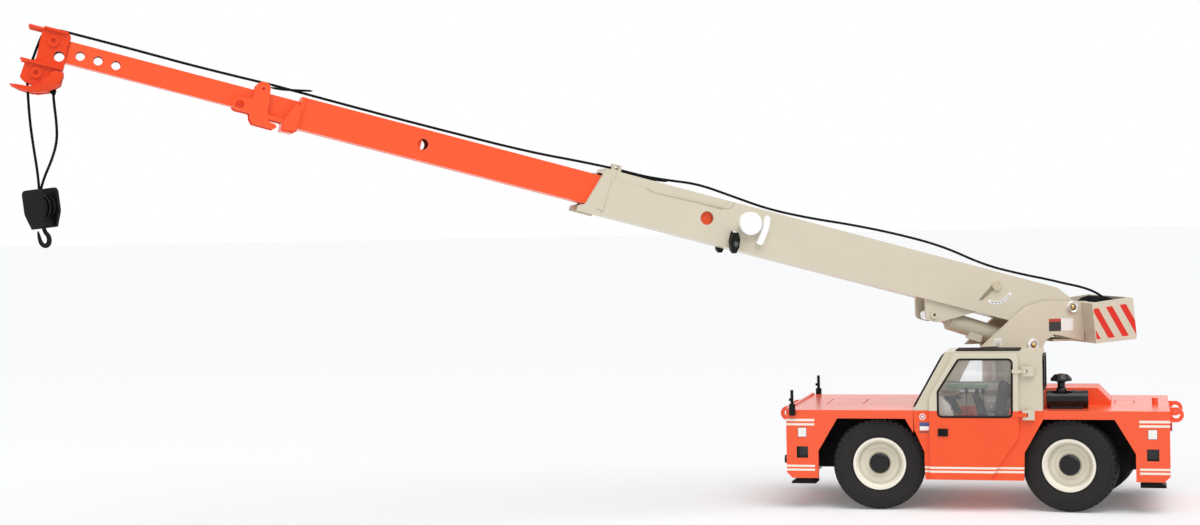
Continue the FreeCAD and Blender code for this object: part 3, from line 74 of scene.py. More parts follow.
upward = Vector((0, 0, 1))
chassisMiddle = (pinOf("front_steer") + pinOf("rear_steer")) / 2
chassisMiddle.z = 0
chassisPlace = place(chassisMiddle, (1, 0, 0), (0, 1, 0), upward)  # x to the rear, y away from the cab's side

slewFoot = pinOf("slew")
slewFoot.z = 0
turretLeft = -axisOf("boom_luff")
turretAhead = turretLeft.cross(upward)
turretPlace = place(slewFoot, turretAhead, turretLeft, upward)  # x ahead of the slew axis, y to the cab's side

boomAhead = axisOf("boom_mid_slide")
boomPlace = place(pinOf("boom_luff"), boomAhead, turretLeft, boomAhead.cross(turretLeft))


def wheelPlace(wheel):
    # x ahead, y out of the wheel's outer face, z up; the origin is the middle of the wheel
    out = axisOf(wheel + "_roll")
    middle = pinOf(wheel + "_roll")
    if out.dot(middle - chassisMiddle) < 0:
        out = -out
    return place(middle, out.cross(upward), out, upward)


# shader maths

class Wire:
    # one socket of a material; the usual operators add Math nodes behind it

    def __init__(self, tree, socket):
        self.tree = tree
        self.socket = socket

    def maths(self, operation, *others):
        return node(self.tree, "ShaderNodeMath", {"operation": operation}, 0, self, *others)

    def __add__(self, other):
        return self.maths("ADD", other)

    __radd__ = __add__

    def __mul__(self, other):
        return self.maths("MULTIPLY", other)

    __rmul__ = __mul__

    def __sub__(self, other):
        return self.maths("SUBTRACT", other)

    def __rsub__(self, other):
        return node(self.tree, "ShaderNodeMath", {"operation": "SUBTRACT"}, 0, other, self)

    def __truediv__(self, other):
        return self.maths("DIVIDE", other)

    def __pow__(self, other):
        return self.maths("POWER", other)

    def __gt__(self, other):
        return self.maths("GREATER_THAN", other)

    def __lt__(self, other):
        return self.maths("LESS_THAN", other)

    def __abs__(self):
        return self.maths("ABSOLUTE")

    def fraction(self):
        return self.maths("FRACT")

    def larger(self, other):
        return self.maths("MAXIMUM", other)


def node(tree, kind, settings, output, *values, **named):
    # a node of any type: its settings first, then the values or links of its sockets
    made = tree.nodes.new(kind)
    for key, value in (settings or {}).items():
        if key == "stops":
            ramp = made.color_ramp.elements
            while len(ramp) < len(value):
                ramp.new(0.5)
            for element, (position, colour) in zip(ramp, value):
                element.position = position
                element.color = colour
        else:
            setattr(made, key, value)
    sockets = [s for s in made.inputs if s.enabled]
    pairs = list(zip(sockets, values))
    for key, value in named.items():
        pairs.append(([s for s in sockets if s.name == key.replace("_", " ")][0], value))
    for socket, value in pairs:
        if isinstance(value, Wire):
            tree.links.new(value.socket, socket)
        elif value is not None:
            socket.default_value = value
    if isinstance(output, str):
        return Wire(tree, made.outputs[output])
    return Wire(tree, [s for s in made.outputs if s.enabled][output])


def colour(rgb):
    return (*rgb, 1.0)


def blendColours(tree, factor, first, second):
    return node(tree, "ShaderNodeMix", {"data_type": "RGBA"}, 0, factor, first, second)


# camera and light

view = {
    "stand": (46.3, -609.7, 87.7),  # millimetres from the middle of the chassis
    "turn": -14.78,
    "dip": 1.47,
    "roll": -1.21,
    "lens": 61.5,
    "sensor": 36,
    "clip": (0.01, 20),
}


def makeCamera(view):
    turn, dip, roll = (math.radians(view[k]) for k in ("turn", "dip", "roll"))
    ahead = Vector((math.sin(turn) * math.cos(dip), math.cos(turn) * math.cos(dip), -math.sin(dip)))
    level = Vector((math.cos(turn), -math.sin(turn), 0))
    above = level.cross(ahead)
    right = level * math.cos(roll) + above * math.sin(roll)
    top = above * math.cos(roll) - level * math.sin(roll)
    lens = bpy.data.cameras.new("camera")
    lens.lens = view["lens"]
    lens.sensor_width = view["sensor"]
    lens.clip_start, lens.clip_end = view["clip"]
    camera = bpy.data.objects.new("camera", lens)
    turned = Matrix((right, top, -ahead)).transposed().to_4x4()
    turned.translation = chassisPlace @ Vector(view["stand"])
    camera.matrix_world = turned
    bpy.context.scene.collection.objects.link(camera)
    bpy.context.scene.camera = camera


studio = {
    "sky": 0.43,
    "backdrop": 1.0,
    "floorWhite": (0.775, 0.785, 0.8),
    "floorGlow": 0.13,
    "floorRough": 0.9,
    "floorSheen": 0.1,
    "floorHalf": 6.0,
    "sunPower": 2.2,
    "sunFrom": (0.42, -0.5, 1.1),
    "sunSoftness": 55,
}

softLights = {
    # power, size, place and aim, all in the shared frame
    "glossLight": (0.8, 0.5, (-0.25, -0.6, 0.55), (0.0, 0.0, 0.06)),
    # a little light under the cab's roof
    "cabFill": (0.0006, 0.012, chassisPlace @ Vector((3, -21, 43)), chassisPlace @ Vector((2, -11, 31))),
}


def softLight(name, power, size, at, aim):
    lamp = bpy.data.lights.new(name, "AREA")
    lamp.energy = power
    lamp.size = size
    thing = bpy.data.objects.new(name, lamp)
    thing.location = at
    thing.rotation_euler = (Vector(aim) - Vector(at)).to_track_quat("-Z", "Y").to_euler()
    thing.visible_camera = False
    bpy.context.scene.collection.objects.link(thing)


def makeSky(studio):
    # soft grey light for the surfaces, white for what is seen past them or mirrored in them
    world = bpy.data.worlds.new("studioSky")
    bpy.context.scene.world = world
    world.use_nodes = True
    tree = world.node_tree
    tree.nodes.remove(tree.nodes["Background"])
    white = colour((1.0, 1.0, 1.0))
    dim = node(tree, "ShaderNodeBackground", None, 0, white, studio["sky"])
    paper = node(tree, "ShaderNodeBackground", None, 0, white, studio["backdrop"])
    straight = node(tree, "ShaderNodeLightPath", None, "Is Camera Ray")
    mirrored = node(tree, "ShaderNodeLightPath", None, "Is Glossy Ray")
    chosen = node(tree, "ShaderNodeMixShader", None, 0, straight.larger(mirrored), dim, paper)
    tree.links.new(chosen.socket, tree.nodes["World Output"].inputs["Surface"])


def makeStudio(studio):
    makeSky(studio)
    sun = bpy.data.lights.new("softSun", "SUN")
    sun.energy = studio["sunPower"]
    sun.angle = math.radians(studio["sunSoftness"])
    thing = bpy.data.objects.new("softSun", sun)
    thing.rotation_euler = (-Vector(studio["sunFrom"])).to_track_quat("-Z", "Y").to_euler()
    bpy.context.scene.collection.objects.link(thing)
    for name, light in softLights.items():
        softLight(name, *light)
    bpy.context.scene.view_settings.view_transform = "Standard"


makeCamera(view)
makeStudio(studio)
print("camera and lights set")


# materials

def startMaterial(name):
    material = bpy.data.materials.new(name)
    material.use_nodes = True
    tree = material.node_tree
    shader = tree.nodes["Principled BSDF"]
    return material, tree, shader


def feed(tree, shader, name, value):
    if isinstance(value, Wire):
        tree.links.new(value.socket, shader.inputs[name])
    else:
        shader.inputs[name].default_value = value


def inMillimetres(tree):
    # the surface point in millimetres in the shared frame
    spot = node(tree, "ShaderNodeTexCoord", None, 3)
    return node(tree, "ShaderNodeVectorMath", {"operation": "SCALE"}, 0, spot, Scale=1000.0)


def inPlace(tree, home):
    # the surface point in millimetres along the three directions of a place
    spot = node(tree, "ShaderNodeTexCoord", None, 3)
    start = home.translation
    moved = node(tree, "ShaderNodeVectorMath", {"operation": "SUBTRACT"}, 0, spot, tuple(start))
    along = []
    for i in range(3):
        direction = tuple(Vector((home[0][i], home[1][i], home[2][i])) * 1000000.0)
        along.append(node(tree, "ShaderNodeVectorMath", {"operation": "DOT_PRODUCT"}, 0, moved, direction))
    return along


def between(wire, low, high):
    return (wire > low) * (wire < high)


def speckle(tree, spot, size, detail=2.0):
    return node(tree, "ShaderNodeTexNoise", None, 0, spot, Scale=1.0 / size, Detail=detail)


def bumpFrom(tree, height, strength, distance):
    return node(tree, "ShaderNodeBump", None, 0, Strength=strength, Distance=distance, Height=height)


def layered(tree, paint, overlay):
    # the overlay's masks, each painted in its own colour over the paint
    for mask, other in (overlay(tree) if overlay else []):
        paint = blendColours(tree, mask, paint, colour(other))
    return paint


enamelLook = {
    "cloud": 9.0,  # millimetres across one patch of unevenness
    "cloudDetail": 3.0,
    "roughSpread": 0.12,
    "coatRough": 0.12,
    "peel": 0.45,
    "peelHeight": 0.12,
    "bump": 0.5,
    "bumpDepth": 0.0002,
}


def enamel(name, base, rough=0.34, coat=0.12, tint=0.04, overlay=None, relief=None, sheen=0.3):
    # sprayed gloss enamel on a casting: faint orange peel and a little unevenness
    look = enamelLook
    material, tree, shader = startMaterial(name)
    spot = inMillimetres(tree)
    cloud = speckle(tree, spot, look["cloud"], look["cloudDetail"])
    darker = tuple(c * (1 - tint * 2) for c in base)
    paint = blendColours(tree, cloud, colour(base), colour(darker))
    feed(tree, shader, "Base Color", layered(tree, paint, overlay))
    feed(tree, shader, "Roughness", cloud * look["roughSpread"] + (rough - look["roughSpread"] / 2))
    feed(tree, shader, "Specular IOR Level", sheen)
    feed(tree, shader, "Coat Weight", coat)
    feed(tree, shader, "Coat Roughness", look["coatRough"])
    height = speckle(tree, spot, look["peel"]) * look["peelHeight"]
    if relief:
        height = height + relief(tree)
    feed(tree, shader, "Normal", bumpFrom(tree, height, look["bump"], look["bumpDepth"]))
    return material


plainLook = {
    "cloud": 3.0,
    "cloudDetail": 4.0,
    "roughSpread": 0.16,
    "lighter": 1.25,
    "lift": 0.003,
    "bumpDepth": 0.0001,
}


def plainFinish(name, base, rough, metallic=0.0, coat=0.0, grain=0.3, depth=0.15, overlay=None, sheen=0.25):
    # moulded plastic, rubber or bare metal
    look = plainLook
    material, tree, shader = startMaterial(name)
    spot = inMillimetres(tree)
    cloud = speckle(tree, spot, look["cloud"], look["cloudDetail"])
    lighter = tuple(min(1.0, c * look["lighter"] + look["lift"]) for c in base)
    paint = blendColours(tree, cloud, colour(base), colour(lighter))
    feed(tree, shader, "Base Color", layered(tree, paint, overlay))
    feed(tree, shader, "Roughness", cloud * look["roughSpread"] + (rough - look["roughSpread"] / 2))
    feed(tree, shader, "Specular IOR Level", sheen)
    feed(tree, shader, "Metallic", metallic)
    feed(tree, shader, "Coat Weight", coat)
    feed(tree, shader, "Normal", bumpFrom(tree, speckle(tree, spot, grain), depth, look["bumpDepth"]))
    return material


paneLook = {
    "smear": 4.0,
    "smearDetail": 4.0,
    "smearSpread": 0.08,
    "rough": 0.02,
    "bend": 1.45,
    "sheen": 0.3,
}


def clearPane(name, tint, seeThrough):
    # tinted clear moulding with faint smears
    look = paneLook
    material, tree, shader = startMaterial(name)
    smear = speckle(tree, inMillimetres(tree), look["smear"], look["smearDetail"])
    feed(tree, shader, "Base Color", colour(tint))
    feed(tree, shader, "Roughness", smear * look["smearSpread"] + look["rough"])
    feed(tree, shader, "IOR", look["bend"])
    feed(tree, shader, "Specular IOR Level", look["sheen"])
    feed(tree, shader, "Alpha", smear * look["smearSpread"] + (1.0 - seeThrough))
    material.surface_render_method = "BLENDED"
    return material


paints = {
    "orange": (0.94, 0.098, 0.022),
    "headOrange": (0.8, 0.05, 0.002),
    "cream": (0.665, 0.605, 0.475),
    # the boom's cream painted a little lighter on the turret, as painted light that brightens its plates
    "turretCreamLit": (0.685, 0.62, 0.487),
    "stripe": (0.88, 0.83, 0.72),
    "black": (0.006, 0.006, 0.006),
    "red": (0.70, 0.022, 0.008),
    "white": (0.84, 0.84, 0.82),
}

stripes = {
    "upper": ((24.3, 24.95), (25.5, 26.2)),  # heights of the double line over the end blocks
    "lower": ((11.2, 11.8), (12.3, 12.9)),
    "blockFrom": 45.3,
    "sideFace": 24.32,
    "endFace": (53.45, 53.56),
    "tubFace": -24.3,
    "doorFace": -25.2,
    "doorCreamFrom": 28.75,
}

chassisHoles = {
    "wellTo": 23.3,
    "wellTop": 27.7,
    "axle": 29.0,
    "wellHalf": 18.1,
    "socketAt": 48.9,
    "socketHalf": 1.72,
    "socketHeight": 16.6,
    "socketFrom": 20.0,
    "socketDepth": 24.3,
}


def doubleLine(z, heights):
    first, second = heights
    return between(z, *first).larger(between(z, *second))


treadPlate = {
    "pitch": 1.5,
    "long": 0.40,
    "short": 0.13,
    "deckHeight": 28.75,
    "rise": 0.8,
    # painted highlight: how strongly the lozenge tops are painted paler, and in what paint
    "glintShare": 0.55,
    "glintPaint": (0.95, 0.42, 0.32),
}


def lozenge(first, second, firstHalf, secondHalf):
    return abs(first.fraction() - 0.5) / firstHalf + abs(second.fraction() - 0.5) / secondHalf


def deckTread(tree):
    # raised lozenges that lie crosswise to one another, only on the deck's top
    x, y, z = inPlace(tree, chassisPlace)
    slant = 0.7071 / treadPlate["pitch"]
    across, along = (x + y) * slant, (x - y) * slant
    first = lozenge(across, along, treadPlate["long"], treadPlate["short"])
    second = lozenge(across + 0.5, along + 0.5, treadPlate["short"], treadPlate["long"])
    bars = (first < 1.0).larger(second < 1.0)
    return bars * (z > treadPlate["deckHeight"]) * treadPlate["rise"]


def chassisMasks(tree):
    x, y, z = inPlace(tree, chassisPlace)
    side, ends = abs(y), abs(x)
    outside = (side > stripes["sideFace"]).larger(between(ends, *stripes["endFace"]))
    lines = doubleLine(z, stripes["upper"]).larger(doubleLine(z, stripes["lower"]))
    lines = lines * (ends > stripes["blockFrom"]) * outside
    # the wheel wells are painted black; the inner faces of the jack sockets are painted black too, as painted shade
    # in the recesses
    well = (side < chassisHoles["wellTo"]) * (z < chassisHoles["wellTop"])
    well = well * (abs(ends - chassisHoles["axle"]) < chassisHoles["wellHalf"])
    half = chassisHoles["socketHalf"]
    socket = (abs(ends - chassisHoles["socketAt"]) < half) * (side < chassisHoles["socketDepth"])
    socket = socket * (side > chassisHoles["socketFrom"]) * (abs(z - chassisHoles["socketHeight"]) < half)
    # painted highlight: the lozenge tops on the deck are painted paler where the overhead light glints on them
    paintedGlints = deckTread(tree) * treadPlate["glintShare"]
    return [(paintedGlints, treadPlate["glintPaint"]), (lines, paints["stripe"]), (well.larger(socket), paints["black"])]


def tubMasks(tree):
    x, y, z = inPlace(tree, chassisPlace)
    return [(doubleLine(z, stripes["lower"]) * (y < stripes["tubFace"]), paints["stripe"])]


def doorMasks(tree):
    x, y, z = inPlace(tree, chassisPlace)
    lines = doubleLine(z, stripes["lower"]) * (y < stripes["doorFace"])
    return [(z > stripes["doorCreamFrom"], paints["cream"]), (lines, paints["stripe"])]


weightBars = {
    "pitch": 4.65,
    "share": 0.47,
    "start": 19.28,
    "lean": 0.593,
    "leanFrom": 56.5,
    "faceFrom": 13.24,
    # each edge of the striped field: where it is measured from, its slope, and its offset
    "roof": (19.6, 0.108, 56.1),
    "foot": (20.7, 0.069, 47.3),
    "fore": (46.1, 0.094, -20.95),
}


def weightMasks(tree):
    a, n, z = inPlace(tree, turretPlace)
    back = 0.0 - a
    run = back - (weightBars["leanFrom"] - z) * weightBars["lean"]
    bars = ((run - weightBars["start"]) / weightBars["pitch"]).fraction() < weightBars["share"]
    roof, foot, fore = (
        (along - start) * slope + offset
        for along, (start, slope, offset) in zip((back, back, z), (weightBars[k] for k in ("roof", "foot", "fore")))
    )
    inside = (z < roof) * (z > foot) * (a < fore) * (abs(n) > weightBars["faceFrom"])
    return [(bars * inside, paints["red"])]


turretPins = {
    "places": ((-16.64, 56.48), (-4.02, 45.9)),
    "brass": 0.35,  # squared radii in square millimetres
    "ring": 0.75,
    "brassPaint": (0.42, 0.27, 0.10),
    "ringPaint": (0.10, 0.07, 0.03),
}


def pinMasks(tree):
    # brass-coloured rivet ends in the middle of the washers
    a, n, z = inPlace(tree, turretPlace)
    pins = []
    for ahead, high in turretPins["places"]:
        away = (a - ahead) ** 2 + (z - high) ** 2
        pins.append((between(away, turretPins["brass"], turretPins["ring"]), turretPins["ringPaint"]))
        pins.append((away < turretPins["brass"], turretPins["brassPaint"]))
    return pins


finishes = {
    "body_orange": enamel("orangeEnamel", paints["orange"]),
    "cream_paint": enamel("creamEnamel", paints["cream"]),
    "black_paint": plainFinish("blackMoulding", paints["black"], 0.45, sheen=0.12),
    "glazing": clearPane("clearGlazing", (0.60, 0.61, 0.60), 0.94),
    "roof_black": plainFinish("roofBlack", (0.006, 0.006, 0.006), 0.6, sheen=0.1),
    "seat_vinyl": plainFinish("seatVinyl", (0.010, 0.010, 0.012), 0.6),
    "lamp_lens": plainFinish("lampLens", (0.7, 0.68, 0.62), 0.12, coat=0.8),
    "tail_lens": plainFinish("tailLens", (0.42, 0.015, 0.01), 0.15, coat=0.8),
    "white_plastic": plainFinish("whiteMoulding", paints["white"], 0.35),
    "cylinder_steel": plainFinish("polishedRod", (0.72, 0.71, 0.69), 0.16, metallic=1.0),
    "cylinder_paint": enamel("cylinderEnamel", paints["cream"]),
    "line_black": plainFinish("threadBlack", (0.005, 0.005, 0.006), 0.8, grain=0.12, depth=0.4, sheen=0.1),
    "tyre_rubber": plainFinish("tyreRubber", (0.012, 0.0112, 0.0105), 0.62, grain=0.5, depth=0.25),
    "rim_cream": enamel("rimEnamel", (0.70, 0.655, 0.53)),
    "hub_black": plainFinish("hubBlack", (0.007, 0.007, 0.007), 0.35, coat=0.1),
}

special = {
    "chassis_frame": enamel("deckEnamel", paints["orange"], 0.26, overlay=chassisMasks, relief=deckTread, sheen=0.5),
    "cab_tub": enamel("tubEnamel", paints["orange"], overlay=tubMasks),
    "cab_door": enamel("doorEnamel", paints["orange"], overlay=doorMasks),
    "counterweight": enamel("weightEnamel", paints["cream"], overlay=weightMasks),
    "turret_frame": enamel("turretEnamel", paints["turretCreamLit"]),
    "boom_head": enamel("headEnamel", paints["headOrange"]),
    "turret_pins": plainFinish("washerSteel", (0.62, 0.60, 0.56), 0.25, metallic=1.0, overlay=pinMasks),
    "air_cleaner": plainFinish("cleanerGloss", (0.003, 0.003, 0.003), 0.2, coat=0.25, sheen=0.2),
    "head_lamps": plainFinish("lampBlack", paints["black"], 0.3, coat=0.4),
}


def dressNodes():
    for row in frame["record"]["subparts"]:
        thing = frame["nodes"][row["node"]]
        thing.data.materials.clear()
        thing.data.materials.append(special.get(row["node"], finishes[row["material_slot"]]))


dressNodes()
print("finishes set")


# mesh tools, all in millimetres of one place

def addPiece(name, build, home, body, slot, material=None, smooth=None, replaced=(), riding=True):
    # build fills a mesh in the place's millimetres, and the piece then moves with a body
    shape = bmesh.new()
    build(shape)
    bmesh.ops.recalc_face_normals(shape, faces=shape.faces)
    shape.transform(home)
    mesh = bpy.data.meshes.new(name)
    shape.to_mesh(mesh)
    shape.free()
    mesh.materials.append(material or finishes[slot])
    if smooth is not None:
        for face in mesh.polygons:
            face.use_smooth = True
        mesh.set_sharp_from_angle(angle=math.radians(smooth))
    thing = bpy.data.objects.new(name, mesh)
    bpy.context.scene.collection.objects.link(thing)
    if replaced:
        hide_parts(*replaced)
    if riding:
        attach(thing, body)
    return thing


def rounded(corners, radius, steps=5):
    # the outline with its corners turned into arcs
    made = []
    count = len(corners)
    for i, corner in enumerate(corners):
        here = Vector(corner)
        back = Vector(corners[i - 1]) - here
        onward = Vector(corners[(i + 1) % count]) - here
        half = back.angle(onward) / 2
        reach = min(radius / math.tan(half), back.length * 0.45, onward.length * 0.45)
        turn = reach * math.tan(half)
        start = here + back.normalized() * reach
        stop = here + onward.normalized() * reach
        centre = here + (back.normalized() + onward.normalized()).normalized() * (turn / math.sin(half))
        first, last = start - centre, stop - centre
        angle = first.angle(last)
        for k in range(steps + 1):
            t = k / steps
            spoke = (first * math.sin((1 - t) * angle) + last * math.sin(t * angle)) / math.sin(angle)
            made.append(tuple(centre + spoke))
    return made


def grown(outline, distance):
    # the outline moved outwards by a distance, or inwards if it is negative
    count = len(outline)
    twice = sum(outline[i - 1][0] * outline[i][1] - outline[i][0] * outline[i - 1][1] for i in range(count))
    sign = 1 if twice > 0 else -1
    made = []
    for i in range(count):
        before = (Vector(outline[i]) - Vector(outline[i - 1])).normalized()
        after = (Vector(outline[(i + 1) % count]) - Vector(outline[i])).normalized()
        tangent = (before + after).normalized()
        out = Vector((tangent.y, -tangent.x)) * sign
        stretch = 1 / max(0.4, tangent.dot(before))
        made.append(tuple(Vector(outline[i]) + out * distance * stretch))
    return made


def softened(shape, edges, width):
    if width:
        bmesh.ops.bevel(shape, geom=list(edges), offset=width, segments=2, affect="EDGES", profile=0.6)


def slab(shape, outline, low, high, soften=0.0):
    # a flat plate: its outline lies in the x-z plane and it runs along y from low to high
    near = [shape.verts.new((x, low, z)) for x, z in outline]
    far = [shape.verts.new((x, high, z)) for x, z in outline]
    faces = [shape.faces.new(near), shape.faces.new(list(reversed(far)))]
    count = len(outline)
    for i in range(count):
        k = (i + 1) % count
        faces.append(shape.faces.new((near[k], near[i], far[i], far[k])))
    softened(shape, {e for f in faces[:2] for e in f.edges}, soften)


def block(shape, x0, x1, y0, y1, z0, z1, soften=0.08):
    corners = [shape.verts.new((x, y, z)) for x in (x0, x1) for y in (y0, y1) for z in (z0, z1)]
    faces = []
    for loop in ((0, 1, 3, 2), (4, 6, 7, 5), (0, 4, 5, 1), (2, 3, 7, 6), (0, 2, 6, 4), (1, 5, 7, 3)):
        faces.append(shape.faces.new([corners[i] for i in loop]))
    softened(shape, {e for f in faces for e in f.edges}, soften)


def blocks(shape, boxes):
    # each box is its two limits along x, y and z, and the width of its softened edges
    for box in boxes:
        block(shape, *box)


def framed(corners, radius, steps=5):
    # a rectangle's outline from its low and high corners, with rounded corners
    (a0, b0), (a1, b1) = corners
    return rounded([(a0, b0), (a0, b1), (a1, b1), (a1, b0)], radius, steps)


def frameRing(shape, outline, inward, outward, low, high):
    # a raised band that follows an outline in the x-z plane
    inner, outer = grown(outline, -inward), grown(outline, outward)
    middle = grown(outline, (outward - inward) / 2)
    rows = [(outer, low), (outer, (low + high) / 2), (middle, high), (inner, (low + high) / 2), (inner, low)]
    rings = [[shape.verts.new((x, y, z)) for x, z in points] for points, y in rows]
    joinRings(shape, rings + rings[:1])


def joinRings(shape, rings):
    for first, second in zip(rings, rings[1:]):
        count = len(first)
        for i in range(count):
            k = (i + 1) % count
            shape.faces.new((first[i], first[k], second[k], second[i]))


def closeTube(shape, rings):
    joinRings(shape, rings)
    shape.faces.new(rings[0])
    shape.faces.new(list(reversed(rings[-1])))


def lathe(shape, profile, steps, centre=(0, 0, 0), along="y", closed=False):
    # (radius, distance) pairs turned about an axis
    rings = []
    for radius, distance in profile:
        ring = []
        for i in range(steps):
            angle = 2 * math.pi * i / steps
            c, s = math.cos(angle) * radius, math.sin(angle) * radius
            spot = (c, distance, s) if along == "y" else (c, s, distance)
            ring.append(shape.verts.new(Vector(centre) + Vector(spot)))
        rings.append(ring)
    if closed:
        joinRings(shape, rings + rings[:1])
    else:
        closeTube(shape, rings)


def crossSections(path):
    # each point of a path with two directions square to it, which never twist against the last ones
    side = None
    for i, spot in enumerate(path):
        ahead = (path[min(i + 1, len(path) - 1)] - path[max(i - 1, 0)]).normalized()
        if side is None:
            side = ahead.orthogonal().normalized()
        side = (side - ahead * side.dot(ahead)).normalized()
        yield i, spot, side, ahead.cross(side)


# rope

def routeOf(points):
    # the smooth centre line that chosen points pull into shape
    curve = bpy.data.curves.new("route", "CURVE")
    curve.dimensions = "3D"
    curve.resolution_u = 20
    spline = curve.splines.new("NURBS")
    spline.points.add(len(points) - 1)
    for spot, point in zip(spline.points, points):
        spot.co = (*point, 1.0)
    spline.order_u = 3
    spline.use_endpoint_u = True
    carrier = bpy.data.objects.new("route", curve)
    bpy.context.scene.collection.objects.link(carrier)
    bpy.context.view_layer.update()
    line = bpy.data.meshes.new_from_object(carrier)
    path = [v.co.copy() for v in line.vertices]
    bpy.data.objects.remove(carrier)
    bpy.data.curves.remove(curve)
    bpy.data.meshes.remove(line)
    return path


def evenly(path, step):
    made = [path[0]]
    left = step
    for start, stop in zip(path, path[1:]):
        run = (stop - start).length
        gone = 0.0
        while run - gone >= left and run > 0:
            gone += left
            made.append(start.lerp(stop, gone / run))
            left = step
        left -= run - gone
    made.append(path[-1])
    return made


rope = {
    "radius": 0.41,
    "lay": 2.4,  # millimetres for one turn of the strands
    "step": 0.4,
    "around": 12,
    "lobe": 0.20,
    "endShare": 0.35,  # the cut ends are this share of the thickness
    "endLength": 0.8,
    "tailShare": 0.85,
}


def strand(shape, path, radius):
    # a laid thread: three lobes that turn along the path
    spots = evenly(path, rope["step"])
    around = rope["around"]
    rings = []
    for i, spot, side, top in crossSections(spots):
        turn = 2 * math.pi * i * rope["step"] / rope["lay"]
        end = min(i, len(spots) - 1 - i) * rope["step"]
        taper = min(1.0, rope["endShare"] + (1 - rope["endShare"]) * end / rope["endLength"])
        ring = []
        for k in range(around):
            angle = 2 * math.pi * k / around
            reach = radius * taper * (1 - rope["lobe"] + rope["lobe"] * abs(math.cos(1.5 * angle)))
            out = side * math.cos(angle + turn) + top * math.sin(angle + turn)
            ring.append(shape.verts.new(spot + out * reach))
        rings.append(ring)
    closeTube(shape, rings)


def turretToBoom(a, n, z):
    return tuple(boomPlace.inverted() @ (turretPlace @ Vector((a, n, z))))


hoistRoute = {
    # turret millimetres, then boom millimetres
    "fromDrum": [
        (-31.0, 1.6, 57.4), (-29.2, 1.3, 59.0), (-26.0, 0.9, 60.9), (-22.0, 0.5, 62.2), (-17.5, 0.2, 63.2),
    ],
    "overBase": [
        (6.5, 0.1, 6.6), (15.0, 0.0, 6.1), (27.0, 0.1, 5.9), (41.0, 0.2, 8.1), (56.0, 0.2, 8.1),
        (70.0, 0.0, 7.3), (82.0, -0.1, 6.1), (95.0, -0.1, 5.5), (107.0, 0.0, 6.5), (117.0, 0.1, 7.3),
        (126.0, 0.1, 6.1), (134.0, 0.0, 5.4), (141.2, 0.0, 5.5),
    ],
    "overMid": [
        (140.6, 0.0, 5.5), (150.0, 0.0, 5.1), (166.0, 0.1, 3.9), (188.0, 0.1, 3.6), (212.0, 0.0, 3.5),
        (238.6, 0.0, 3.7),
    ],
    "overFly": [
        (238.0, 0.0, 3.7), (256.0, 0.0, 3.25), (275.0, 0.0, 3.4), (290.0, 0.0, 3.35), (295.9, 0.0, 3.3),
        (298.4, 0.0, 1.6), (298.9, 0.0, -1.4), (299.3, 0.0, -5.5), (299.6, 0.0, -8.9),
    ],
    "doubled": [
        (141.0, 0.2, 5.0), (137.0, 0.3, 4.9), (132.5, 0.3, 5.05), (129.0, 0.2, 5.35), (125.8, 0.1, 5.9),
    ],
    "tail": [(238.4, 0.4, 2.9), (235.8, 0.5, 3.0), (232.0, 0.5, 3.85), (227.4, 0.5, 4.85)],
}


def ropeOnBase(shape):
    points = [turretToBoom(*p) for p in hoistRoute["fromDrum"]] + hoistRoute["overBase"]
    strand(shape, routeOf(points), rope["radius"])
    strand(shape, routeOf(hoistRoute["doubled"]), rope["radius"])


def ropeOnMid(shape):
    strand(shape, routeOf(hoistRoute["overMid"]), rope["radius"])
    strand(shape, routeOf(hoistRoute["tail"]), rope["radius"] * rope["tailShare"])


def ropeOnFly(shape):
    strand(shape, routeOf(hoistRoute["overFly"]), rope["radius"])


baseRope = addPiece("hoistRopeOnBase", ropeOnBase, boomPlace, "boom", "line_black", smooth=70,
                    replaced=("line_winch", "line_base"), riding=False)
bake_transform(baseRope)
midRope = addPiece("hoistRopeOnMid", ropeOnMid, boomPlace, "mid", "line_black", smooth=70,
                   replaced=("line_mid",), riding=False)
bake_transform(midRope)
flyRope = addPiece("hoistRopeOnFly", ropeOnFly, boomPlace, "fly", "line_black", smooth=70,
                   replaced=("line_fly",), riding=False)
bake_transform(flyRope)


winding = {
    "drumBack": -28.0,
    "drumHeight": 54.6,
    "radius": 4.35,
    "half": 6.3,
    "turns": 19,
    "around": 56,
    "ringsPerTurn": 6,
    "crest": 0.3,
    "slack": 0.25,
}


def ropeOnDrum(shape):
    # turns of thread side by side; each ring is shifted along the drum as it goes round
    perTurn = 2 * winding["half"] / winding["turns"]
    rings = []
    for i in range(winding["turns"] * winding["ringsPerTurn"] + 1):
        along = -winding["half"] + i * perTurn / winding["ringsPerTurn"]
        ring = []
        for k in range(winding["around"]):
            angle = 2 * math.pi * k / winding["around"]
            crest = abs(math.sin(math.pi * (along + angle / (2 * math.pi) * perTurn) / perTurn))
            slack = winding["slack"] * math.sin(3 * along + 2 * angle) * math.sin(along)
            reach = winding["radius"] + winding["crest"] * (crest - 1) + slack
            back = winding["drumBack"] + reach * math.cos(angle)
            ring.append(shape.verts.new((back, along, winding["drumHeight"] + reach * math.sin(angle))))
        rings.append(ring)
    closeTube(shape, rings)


addPiece("threadOnDrum", ropeOnDrum, turretPlace, "turret", "line_black", smooth=60)


